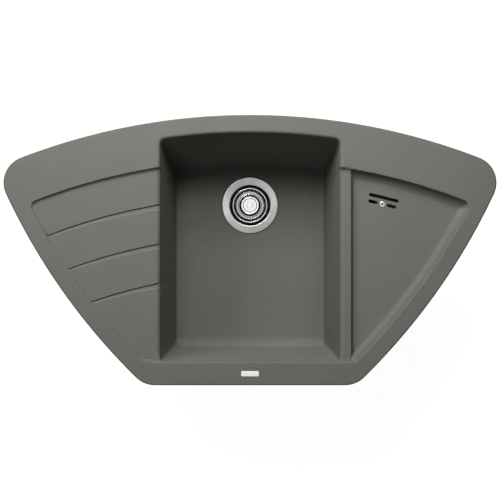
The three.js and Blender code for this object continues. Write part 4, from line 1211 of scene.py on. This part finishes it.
basket = {
    "rim": 34.4,
    "rimWidth": 1.7,
    "rimDrop": 7,
    "sheet": 1.1,
    "wall": 33.4,
    "floor": 31,
    "depth": 22,
    "slots": 40,  # round the foot of its wall
    "slotWidth": 3.5,
    "slotFrom": 29.4,
    "slotTo": 33.2,
    "holeRows": ((27.6, 2.3), (24.9, 2.1)),  # radius of the row and width of its holes
    "holes": 40,
    "bead": 22.5,
    "dish": 3,  # depth of the middle under the knob
    "seal": 37,
    "sealThickness": 2,
    "stem": 5,
    "knob": 18.4,
    "knobThickness": 4,
    "knobDrop": 2,
    "knobGroove": 13.7,
    "knobCentre": 6.3,
}
basketTop = flangeTop - basket["rimDrop"]
basketBottom = flangeTop - basket["depth"]
sealBottom = seatTop - (seatRadius - basket["seal"]) * strainer["seatDrop"] / strainer["seatRun"] + 0.5
sealTop = sealBottom + basket["sealThickness"]
knobTop = flangeTop - basket["knobDrop"]


def strainerBasket():
    sheet, wall, floor, bead = (basket[name] for name in ("sheet", "wall", "floor", "bead"))
    rim, half = basket["rim"], basket["rimWidth"] / 2
    low, inner, dish = basketBottom, wall - basket["sheet"], basket["dish"]
    section = [
        (0, low - dish), (bead - 4.4, low - dish), (bead - 2.2, low), (floor - 2.6, low), (floor, low + 2.2),
        (wall, sealBottom), (wall, sealTop + 0.3), (rim + half, basketTop - 1.6), (rim + half, basketTop),
        (rim - half, basketTop), (inner, sealTop + 1.4), (inner, sealBottom), (floor - sheet, low + 2.6),
        (floor - 2.9, low + sheet), (bead + 1.5, low + sheet), (bead + 0.8, low + sheet + 1.2),
        (bead - 0.6, low + sheet + 1.2), (bead - 1.3, low + sheet - 0.2), (bead - 3.6, low + sheet - dish),
        (0, low + sheet - dish),
    ]
    bar = roundedBar(basket["slotTo"] - basket["slotFrom"] + 0.6, basket["slotWidth"], 5)[0]
    slots = ringOf(bar + ((basket["slotTo"] + basket["slotFrom"]) / 2, 0), basket["slots"])
    holes = []
    for row, (radius, width) in enumerate(basket["holeRows"]):
        holes += ringOf(circle(width / 2, 12) + (radius, 0), basket["holes"], row / 2)
    cutters = prisms(slots, low - 3, sealBottom - 0.3), prisms(holes, low - 3, low + 2)
    return combined(turned(softened(section, 0.6), strainerSpot, 160), *cuts(*cutters))


# A knob pressed from sheet: a crowned face with two fine circles pressed into it.
def basketKnob():
    radius, low = basket["knob"], knobTop - basket["knobThickness"]
    groove, centre = basket["knobGroove"], basket["knobCentre"]
    section = [
        (0, low), (radius - 1, low), (radius, low + 1), (radius, knobTop - 1.1),
        (radius - 0.5, knobTop - 0.4), (radius - 1.6, knobTop), (groove + 0.6, knobTop - 0.05),
        (groove + 0.3, knobTop - 1.2), (groove - 0.3, knobTop - 1.2), (groove - 0.6, knobTop - 0.05),
        (centre + 0.4, knobTop - 0.02), (centre, knobTop - 0.35), (centre - 0.4, knobTop - 0.02),
        (0, knobTop - 0.02),
    ]
    return turned(softened(section, 0.2), strainerSpot, 96)


def basketStem():
    radius, low = basket["stem"], basketBottom + basket["sheet"] - basket["dish"] + 0.3
    high = knobTop - basket["knobThickness"] - 0.3
    section = [(0, low), (radius, low), (radius, low + 1.5), (radius - 1.2, low + 2.4)]
    section += [(radius - 1.2, high - 2.4), (radius, high - 1.5), (radius, high), (0, high)]
    return turned(softened(section, 0.3), strainerSpot, 48)


# A slot of 1.4 mm across a screw's head.
def slotCutter(spot, bottom, top):
    return prism(np.array([(-7, -0.7), (7, -0.7), (7, 0.7), (-7, 0.7)]) + spot, bottom, top)


# How far a thread of rounded ridges lies below its crests, at each angle.
def helix(angles, z, pitch, depth):
    turn = (z / pitch - angles / (2 * math.pi)) % 1
    return -depth * (0.5 + 0.5 * np.cos(2 * math.pi * turn))


def threaded(pitch, depth, low, high):
    def swell(angles, radius, z):
        if not low <= z <= high:
            return 0 * angles - (depth if low - pitch < z < high + pitch else 0)
        return helix(angles, z, pitch, depth)

    return swell


def boltSection(radius, low, high, pitch, head):  # from the tip up, then the head's own points
    tip = [(0, low - pitch / 2), (radius - pitch / 2, low - pitch / 2)]
    return [*tip, *[(radius, z) for z in np.arange(low, high, pitch / 6)], *head]


waste = {
    "gasket": 2.5,
    "gasketBore": 45.3,
    "flange": 55,
    "flangeThickness": 4,
    "radius": 48,
    "wall": 3,
    "straight": 32,
    "cone": 14,
    "outlet": 23.5,
    "outletLength": 26,
    "hub": 8,
    "hubHeight": 16,
    "web": 3,
    "spigot": 12.5,
    "bore": 8,
    "nutWall": 5,
    "nutLip": 2.5,
    "nutHeight": 20,
    "nutRibs": 32,
    "ribDepth": 1.3,
    "washer": 3.4,
    "screw": 3,
    "screwHead": 6,
    "screwHeadHeight": 3.5,
}
bowlUnder = bowl["floor"] - sink["wall"]
wasteTop = bowlUnder - waste["gasket"] - 0.6
coneTop = wasteTop - waste["straight"]
outletTop = coneTop - waste["cone"]
outletEnd = outletTop - waste["outletLength"]
hubTop = cupFloor - strainer["sheet"] - 0.3
spigotLevel = coneTop + waste["spigot"] + waste["wall"] / 2
spigotEnd = waste["flange"] + 16

housing = {
    "width": 68,
    "depth": 34,
    "height": 26,
    "wall": 2.5,
    "corner": 8,
    "boss": 5,
    "pilot": 2.3,
    "spigotX": 20,
    "spigotLength": 16,
    "middle": -6.15,
}
basinUnder = basinFloor - sink["wall"]
housingTop = basinUnder - 1.8
housingBottom = housingTop - housing["height"]
housingEnd = housingBottom - housing["spigotLength"]
screwSpot = atOverflow([(0, -overflow["rows"])])[0]
pipeTop = atOverflow([(-housing["spigotX"], housing["middle"])])[0]
pipeWay = math.atan2(pipeTop[1] - bowl["strainer"], pipeTop[0])
pipeReach = math.hypot(pipeTop[0], pipeTop[1] - bowl["strainer"])


# A straight part laid from the strainer's axis towards the overflow pipe.
def laid(section, level):
    mesh = turned(section, (0, seatInset), 48)
    towards = Matrix.Rotation(pipeWay, 4, "Z") @ Matrix.Rotation(math.pi / 2, 4, "Y")
    mesh.transform(Matrix.Translation(place(*strainerSpot, level)) @ towards)
    return mesh


def wasteBody():
    radius, wall, outlet, flange = waste["radius"], waste["wall"], waste["outlet"], waste["flange"]
    inner = radius - wall
    section = [
        (outlet - 0.8, outletEnd), (outlet, outletEnd + 0.8), (outlet, outletTop), (radius, coneTop),
        (radius, wasteTop - waste["flangeThickness"]), (flange, wasteTop - waste["flangeThickness"]),
        (flange, wasteTop), (inner, wasteTop), (inner, coneTop + wall / 2),
        (outlet - wall, outletTop + wall / 2), (outlet - wall, outletEnd),
    ]

    def thread(angles, r, z):  # where the union nut screws on
        if r < outlet - 1 or not outletEnd + 2 < z < outletEnd + 16:
            return 0 * angles
        return helix(angles, z, 3, 0.9)

    rounded = softened(section, 1.2)
    start = next(i for i, p in enumerate(rounded) if p[1] > outletEnd + 1.5 and p[0] > outlet - 0.5)
    screwed = [np.array((outlet, z)) for z in np.arange(outletEnd + 1.5, outletEnd + 16.5, 0.5)]
    shell = turned([*rounded[:start], *screwed, *rounded[start:]], strainerSpot, 96, thread)
    hubBottom, reach = hubTop - waste["hubHeight"], inner + wall / 2
    hub = prism(circle(waste["hub"], 32) + strainerSpot, hubBottom, hubTop)
    web = np.array([(2, -1), (reach, -1), (reach, 1), (2, 1)]) * (1, waste["web"] / 2)
    webs = [prism(points, hubBottom + 3, hubTop - 3) for points in ringOf(web, 3, 0.5)]
    spigot = laid(softened(rodSection(waste["spigot"], inner + 1.5, spigotEnd), 0.6), spigotLevel)
    bore = laid(rodSection(waste["bore"], inner - 3, spigotEnd + 2), spigotLevel)
    hole = prism(circle(waste["screw"] + 0.3, 24) + strainerSpot, hubBottom - 2, hubTop + 2)
    return combined(shell, *joins(hub, *webs, spigot), *cuts(bore, hole))


# Grip ribs round a moulded nut.
def gripped(ribs, depth, outer, low, high):
    def swell(angles, radius, z):
        if radius < outer - 0.1 or not low < z < high:
            return 0 * angles
        return depth * np.clip(1.6 * np.cos(ribs * angles), 0, 1)

    return swell


def nutSection(bore, lipBore, lip, height, thickness):
    outer = bore + thickness
    levels = (1.2, 2.0, 2.001, height / 2, height - 2.001, height - 2.0, height - 1)
    end = [(outer - 1, height), (bore, height), (bore, lip), (lipBore, lip)]
    return [(lipBore, 0), (outer - 1.2, 0), *[(outer, z) for z in levels], *end]


# One of the pipe's two nuts, moved from the origin to its place.
def pipeNut(move):
    bore, height, wall = waste["spigot"] + 0.3, pipe["nutHeight"], pipe["nutWall"]
    section = nutSection(bore, pipe["nutBore"], pipe["nutLip"], height, wall)
    ribs = gripped(pipe["nutRibs"], 1.2, bore + wall, 1.9, height - 1.9)
    mesh = turned(section, (0, seatInset), 128, ribs)
    mesh.transform(move)
    return mesh


def wasteNut():
    bore, height = waste["outlet"] + 0.3, waste["nutHeight"]
    low = outletEnd - 0.6 - waste["washer"] - waste["nutLip"]
    section = nutSection(bore, waste["outlet"] - waste["wall"], waste["nutLip"], height, waste["nutWall"])
    outer, high = bore + waste["nutWall"], low + height
    ribs = gripped(waste["nutRibs"], waste["ribDepth"], outer, low + 1.9, high - 1.9)
    return turned([(r, z + low) for r, z in section], strainerSpot, 192, ribs)


def wasteScrew():
    low, under = hubTop - waste["hubHeight"], cupFloor + 0.3
    top, head = under + waste["screwHeadHeight"], waste["screwHead"]
    cap = [(waste["screw"], under), (head, under), (head, top - 1.2), (head - 1.4, top), (0, top)]
    section = boltSection(waste["screw"], low + 0.6, under - 6, 1.0, [(waste["screw"], under - 6), *cap])
    bolt = turned(section, strainerSpot, 32, threaded(1.0, 0.3, low + 0.6, under - 6))
    return combined(bolt, *cuts(slotCutter(strainerSpot, top - 1.6, top + 1)))


def overflowGasket():
    top = basinUnder - 0.3
    outer = roundedBox(housing["width"], housing["depth"], housing["corner"])
    inner = roundedBox(housing["width"] - 10, housing["depth"] - 10, housing["corner"] - 5)
    outer, inner = (atOverflow(points + (0, housing["middle"])) for points in (outer, inner))
    return solidThrough([(outer, top - 1.2), (outer, top), (inner, top), (inner, top - 1.2)], capped=False)


def overflowHousing():
    lift, wall = (0, housing["middle"]), housing["wall"]

    def level(shrink, z):
        length, width = housing["width"] - 2 * shrink, housing["depth"] - 2 * shrink
        return atOverflow(roundedBox(length, width, max(housing["corner"] - shrink, 2)) + lift), z

    low = housingBottom
    levels = ((2, low), (0.6, low + 0.5), (0, low + 2), (0, housingTop - 0.4), (0.4, housingTop))
    box = solidThrough([level(*row) for row in levels])
    levels = ((wall + 1.5, low + wall), (wall, low + wall + 1.5), (wall, housingTop + 2))
    hollow = solidThrough([level(*row) for row in levels])
    boss = prism(circle(housing["boss"], 32) + screwSpot, low + 0.5, housingTop)
    pilot = prism(circle(housing["pilot"], 24) + screwSpot, low + wall, housingTop + 2)
    tube = turned(softened(rodSection(waste["spigot"], housingEnd, low + wall), 0.6), pipeTop, 48)
    bore = prism(circle(waste["bore"], 32) + pipeTop, housingEnd - 2, low + 2 * wall)
    return combined(box, *cuts(hollow), *joins(boss, tube), *cuts(bore, pilot))


def overflowScrew():
    head, radius, shank = basinFloor - 0.3, overflow["screwHead"], overflow["screwShank"]
    tip = housingBottom + 2 * housing["wall"]
    under = head - radius + shank
    section = [
        *boltSection(shank, tip + 0.6, under - 2, 0.8, [(shank, under - 2), (shank, under)]),
        (radius - 0.15, head - 0.15), (radius - 0.1, head + 0.05), (radius - 0.8, head + 0.3),
        (0, head + 0.3),
    ]
    screw = turned(section, screwSpot, 48, threaded(0.8, 0.25, tip + 0.6, under - 2))
    socket = circle(overflow["socket"] / 2 / math.cos(math.pi / 6), 6) + screwSpot
    return combined(screw, *cuts(prism(socket, head - 3, head + 2)))


pipe = {
    "root": 9,
    "crest": 10.5,
    "bore": 8.2,
    "collar": 11.8,
    "collarThickness": 2,
    "pitch": 6,
    "straight": 42,
    "nutBore": 10.8,
    "nutLip": 1.5,
    "nutHeight": 16,
    "nutWall": 3,
    "nutRibs": 16,
    "ringsPerRib": 12,
    "sides": 40,
}


# The overflow's corrugated pipe: down, round one bend, and along to the waste body. Both ends are held.
def overflowPipe():
    start = np.array([pipeReach, housingEnd - 0.3])
    end = np.array([spigotEnd + 0.3, spigotLevel])
    bend = min(start - end) - pipe["straight"]
    drop = start[1] - end[1] - bend
    arc = math.pi / 2 * bend
    length = drop + arc + start[0] - end[0] - bend
    centre = start[0] - bend, end[1] + bend

    def ringAt(along, radius):
        angle = min(max(along - drop, 0) / bend, math.pi / 2)
        rest = max(along - drop - arc, 0)
        x = centre[0] + bend * math.cos(angle) - rest
        z = start[1] - along if along < drop else centre[1] - bend * math.sin(angle)
        points = []
        for turn in 2 * math.pi * np.arange(pipe["sides"]) / pipe["sides"]:
            out, aside = radius * math.cos(turn), radius * math.sin(turn)
            reach = x + out * math.cos(angle)
            flat = turnedPoints([(reach, aside)], pipeWay)[0] + strainerSpot
            points.append(place(*flat, z - out * math.sin(angle)))
        return points

    def collarFrom(start):
        steps = ((0, 0.4), (0.4, 0), (thick - 0.4, 0), (thick, 0.4))
        return [ringAt(start + along, pipe["collar"] - less) for along, less in steps]

    thick = pipe["collarThickness"]
    ribs = int((length - 2 * thick) / pipe["pitch"])
    pitch = (length - 2 * thick) / ribs
    rings = collarFrom(0)
    middle, half = (pipe["root"] + pipe["crest"]) / 2, (pipe["crest"] - pipe["root"]) / 2
    for i in range(ribs * pipe["ringsPerRib"] + 1):
        share = i / pipe["ringsPerRib"]
        wave = -math.cos(2 * math.pi * share)
        rings.append(ringAt(thick + share * pitch, middle + half * math.copysign(abs(wave) ** 0.6, wave)))
    rings += collarFrom(length - thick)
    rings += [ringAt(share * length, pipe["bore"]) for share in np.linspace(1, 0, 60)]
    return cleanMesh("pipe", *lofted(rings, capped=False))


nutSeat = 0.6 + pipe["collarThickness"] + pipe["nutLip"]
towardsPipe = Matrix.Rotation(pipeWay, 4, "Z") @ Matrix.Rotation(-math.pi / 2, 4, "Y")
nutSpot = np.array([math.cos(pipeWay), math.sin(pipeWay)]) * (spigotEnd + nutSeat) + strainerSpot
topNut = pipeNut(Matrix.Translation(place(*pipeTop, housingEnd - nutSeat)))
bottomNut = pipeNut(Matrix.Translation(place(*nutSpot, spigotLevel)) @ towardsPipe)
gasketTop = flangeBottom - 0.3
gasketBottom = gasketTop - strainer["gasket"]
flangeGasket = washer(strainer["gasketBore"], strainer["radius"] - 0.3, gasketBottom, gasketTop)
sealSection = washer(basket["wall"] + 0.3, basket["seal"], sealBottom, sealTop, 0.7)
wasteGasket = washer(waste["gasketBore"], waste["flange"], wasteTop + 0.3, bowlUnder - 0.3, 0.6)
washerTop = outletEnd - 0.3
outletSection = washer(
    waste["outlet"] - waste["wall"], waste["outlet"] - 0.3, washerTop - waste["washer"], washerTop
)
# painted shade in two dark rings: by the slots at the foot of its wall, and round under the knob's edge
basketLook = finish("polishedStainless", strainerAxis, [(31.3, 3.8, 0.92), (19.6, 3.6, 0.92)])
# painted shade in the knob's two pressed circles
knobPaintedShade = [(basket["knobGroove"], 1.2, 0.97), (basket["knobCentre"], 0.9, 0.5)]
knobLook = finish("buffedChrome", strainerAxis, knobPaintedShade)
screwAxis = place(*screwSpot, 0)[:2]
screwLook = finish("polishedStainless", screwAxis, [(1.0, 2.6, 0.97)])  # the shade in its socket
rubber, plastic = ("sink", "black_rubber", rubberLook), ("sink", "waste_plastic", plasticLook)
polished = ("basket", "polished_steel")
for name, mesh, (body, slot, look), node in (
    ("strainerFlange", strainerFlange(), ("sink", "satin_steel", flangeLook), "strainer_flange"),
    ("flangeGasket", turned(flangeGasket, strainerSpot), rubber, "flange_gasket"),
    ("strainerBasket", strainerBasket(), (*polished, basketLook), "strainer_basket"),
    ("basketSeal", turned(sealSection, strainerSpot), ("seal_ring", *rubber[1:]), "basket_seal"),
    ("basketKnob", basketKnob(), (*polished, knobLook), "basket_knob"),
    ("basketStem", basketStem(), (*polished, polishedLook), "basket_stem"),
    ("wasteGasket", turned(wasteGasket, strainerSpot), rubber, "waste_body_gasket"),
    ("wasteBody", wasteBody(), plastic, "waste_body"),
    ("wasteScrew", wasteScrew(), ("sink", "satin_steel", steelLook), "waste_centre_screw"),
    ("wasteNut", wasteNut(), plastic, "outlet_union_nut"),
    ("outletWasher", turned(outletSection, strainerSpot), rubber, "outlet_washer"),
    ("overflowGasket", overflowGasket(), rubber, "overflow_gasket"),
    ("overflowHousing", overflowHousing(), plastic, "overflow_housing"),
    ("overflowScrew", overflowScrew(), ("sink", "polished_steel", screwLook), "overflow_screw"),
    ("overflowPipe", overflowPipe(), ("sink", "pipe_plastic", pipeLook), "overflow_hose"),
    ("pipeNutTop", topNut, plastic, "hose_nut_top"),
    ("pipeNutBottom", bottomNut, plastic, "hose_nut_bottom"),
):
    fitted(name, mesh, body, look, [node], 60 if name == "overflowPipe" else 35)
print("fittings made")


clamp = {
    "worktop": 38,
    "insertRadius": 4.2,
    "insertLength": 10,
    "screw": 3,
    "pitch": 1.5,
    "threadDepth": 0.35,
    "head": 5.5,
    "headHeight": 4,
    "width": 14,
    "sheet": 2.5,
    "heel": 12.5,
    "reach": 20,
    "tip": 5,
    "bend": 1.6,
}
insertTop = clamp["insertLength"] - clamps["padDrop"]
clawTop = -clamp["worktop"] - clamp["tip"]
headTop = clawTop - clamp["sheet"] - 0.3


# A brass insert, moulded into its pad.
def clampInsert(spot):
    low = -clamps["padDrop"]
    section = washer(clamp["screw"] + 0.3, clamp["insertRadius"], low, insertTop, 0.5)
    return turned(section, spot, 48)


def clampScrew(spot):
    low, radius, head = headTop - clamp["headHeight"], clamp["screw"], clamp["head"]
    shank, end = headTop + 3, insertTop - 1.2
    section = [(0, low), (head - 1.2, low), (head, low + 1), (head, headTop - 0.5), (head - 0.5, headTop)]
    section += [(radius, z) for z in (headTop, shank, *np.arange(shank, end, clamp["pitch"] / 6), end)]
    section += [(radius - 1, insertTop), (0, insertTop)]
    thread = threaded(clamp["pitch"], clamp["threadDepth"], shank + 0.01, end - 0.01)

    def swell(angles, r, z):  # above the plain part of the shank
        return thread(angles, r, z) if z > shank and r > 0 else 0 * angles

    bolt = turned(section, spot, 32, swell)
    return combined(bolt, *cuts(slotCutter(spot, low - 1, low + 1.6)))


# A bent strip of zinc-plated steel: heel up against the pad, tip under the worktop.
def clampClaw(x, y, turn):
    sheet, heel, reach, tip, bend = (clamp[name] for name in ("sheet", "heel", "reach", "tip", "bend"))
    heelTop = -clamps["padDrop"] - 0.3 - clawTop
    corners = [
        (-heel, -sheet, bend + sheet), (reach, -sheet, bend + sheet), (reach, tip, 0.3),
        (reach - sheet, tip, 0.3), (reach - sheet, 0, bend), (sheet - heel, 0, bend),
        (sheet - heel, heelTop, 0.3), (-heel, heelTop, 0.3),
    ]
    profile = []
    points = [np.array(corner[:2]) for corner in corners]
    for i, (_, _, radius) in enumerate(corners):
        after, count = points[(i + 1) % len(corners)], 7 if radius > 1 else 3
        profile += roundCorner(points[i - 1], points[i], after, (radius, radius), count)
    half, soft = clamp["width"] / 2, 0.35
    rings = []
    for aside, shrink in ((-half, soft), (-half + soft, 0), (half - soft, 0), (half, soft)):
        ring = []
        for i, point in enumerate(profile):
            along = profile[(i + 1) % len(profile)] - profile[i - 1]
            inward = np.array((-along[1], along[0])) / np.linalg.norm(along)
            px, pz = point + inward * shrink
            flat = turnedPoints([(px, aside)], turn)[0] + (x, y)
            ring.append(place(*flat, pz + clawTop))
        rings.append(ring)
    strip = cleanMesh("claw", *lofted(rings))
    hole = circle(clamp["screw"] + 0.3, 32) + (x, y)
    return combined(strip, *cuts(prism(hole, clawTop - sheet - 2, clawTop + 2)))


for number, (x, y, turn) in enumerate(clampSpots, 1):
    for name, mesh, body, slot, look in (
        ("insert", clampInsert((x, y)), "sink", "insert_brass", brassLook),
        ("screw", clampScrew((x, y)), f"clamp_{number}_screw", "clamp_zinc", zincLook),
        ("claw", clampClaw(x, y, turn), f"clamp_{number}_claw", "clamp_zinc", zincLook),
    ):
        fitted(f"clamp{name.title()}{number}", mesh, body, look, [f"clamp_{name}_{number}"])


# The badge's place stays bare: a satin plate let into the rim.
def badgePlate():
    length, width, corner = badge["width"], badge["height"], badge["corner"]
    bottom, top = rimLevel - badge["pocket"] + badge["gap"], rimLevel + badge["gap"]
    rings = []
    for shrink, z in ((0.1, bottom), (0, bottom + 0.1), (0, top - 0.35), (0.1, top - 0.12), (0.35, top)):
        points = roundedBox(length - 2 * shrink, width - 2 * shrink, corner - shrink)
        rings.append((points + (0, badge["y"]), z))
    return solidThrough(rings)


fitted("badgePlate", badgePlate(), "sink", finish("anodisedAluminium"), ["badge_plate"])

# The sealing strip is square-cut foam, as its solid is.
strip = bpy.data.objects["rim_seal_tape"]
strip.data.materials.clear()
strip.data.materials.append(finish("cutFoam"))
print("clamps and trim made")


# Camera, light and floor. The camera looks straight down at the middle of the front-to-back depth.
camera = bpy.data.objects.new("camera", bpy.data.cameras.new("camera"))
camera.data.lens = 92.5
camera.location = (0, 0.246, 2.428)
bpy.context.scene.collection.objects.link(camera)
bpy.context.scene.camera = camera


# Softboxes about the sink: degrees round from the right, degrees up, metres away, metres wide, watts.
lampCentre = Vector((0, 0.2, 0))
lamps = {
    "lowSoftbox": (105, 30, 1.3, 0.5, 7.2),
    "backSoftbox": (75, 42, 1.3, 0.5, 5.8),
    "highSoftbox": (105, 56, 2.0, 0.5, 12.2),
    "leftSoftbox": (140, 34, 2.0, 0.5, 9.6),
    "frontFill": (250, 45, 2.0, 0.5, 3.0),
}
for name, (around, up, distance, width, power) in lamps.items():
    lamp = bpy.data.lights.new(name, "AREA")
    lamp.size, lamp.energy = width, power
    turn = Matrix.Rotation(math.radians(around), 3, "Z") @ Matrix.Rotation(math.radians(-up), 3, "Y")
    way = turn @ Vector((1, 0, 0))
    holder = bpy.data.objects.new(name, lamp)
    holder.location = lampCentre + way * distance
    holder.rotation_euler = (-way).to_track_quat("-Z", "Y").to_euler()
    bpy.context.scene.collection.objects.link(holder)


def backgroundRays(tree):  # 1 for what the camera sees, straight on or in metal and glass
    rays = addNode(tree, "ShaderNodeLightPath").outputs
    mirrored = maths(tree, "MAXIMUM", rays["Is Glossy Ray"], rays["Is Transmission Ray"])
    return maths(tree, "MAXIMUM", rays["Is Camera Ray"], mirrored)


floorMesh = bpy.data.meshes.new("floor")
low = cadBox[0][2]
floorMesh.from_pydata([(-4, -4, low), (4, -4, low), (4, 4, low), (-4, 4, low)], [], [(0, 1, 2, 3)])
floor = bpy.data.objects.new("floor", floorMesh)
bpy.context.scene.collection.objects.link(floor)
material, tree, shader, where = newMaterial("paleFloor", Roughness=0.7)
shader.inputs["Base Color"].default_value = linear("#8a8a88")
shader.inputs["Emission Color"].default_value = (1, 1, 1, 1)
glow = addNode(tree, "ShaderNodeMapRange", {"Value": backgroundRays(tree), "To Max": 0.94})
tree.links.new(glow.outputs["Result"], shader.inputs["Emission Strength"])
back = addNode(tree, "ShaderNodeNewGeometry").outputs["Backfacing"]  # seen through from below
clear = addNode(tree, "ShaderNodeBsdfTransparent").outputs[0]
mixed = addNode(tree, "ShaderNodeMixShader", {0: back, 1: shader.outputs[0], 2: clear})
tree.links.new(mixed.outputs[0], tree.nodes["Material Output"].inputs["Surface"])
floorMesh.materials.append(material)

world = bpy.data.worlds.new("studio")
bpy.context.scene.world = world
world.use_nodes = True
sky = world.node_tree
strength = addNode(sky, "ShaderNodeMapRange", {"Value": backgroundRays(sky), "To Min": 0.015, "To Max": 1.0})
sky.nodes["Background"].inputs["Color"].default_value = (1, 1, 1, 1)
sky.links.new(strength.outputs["Result"], sky.nodes["Background"].inputs["Strength"])

bpy.context.scene.view_settings.view_transform = "Standard"
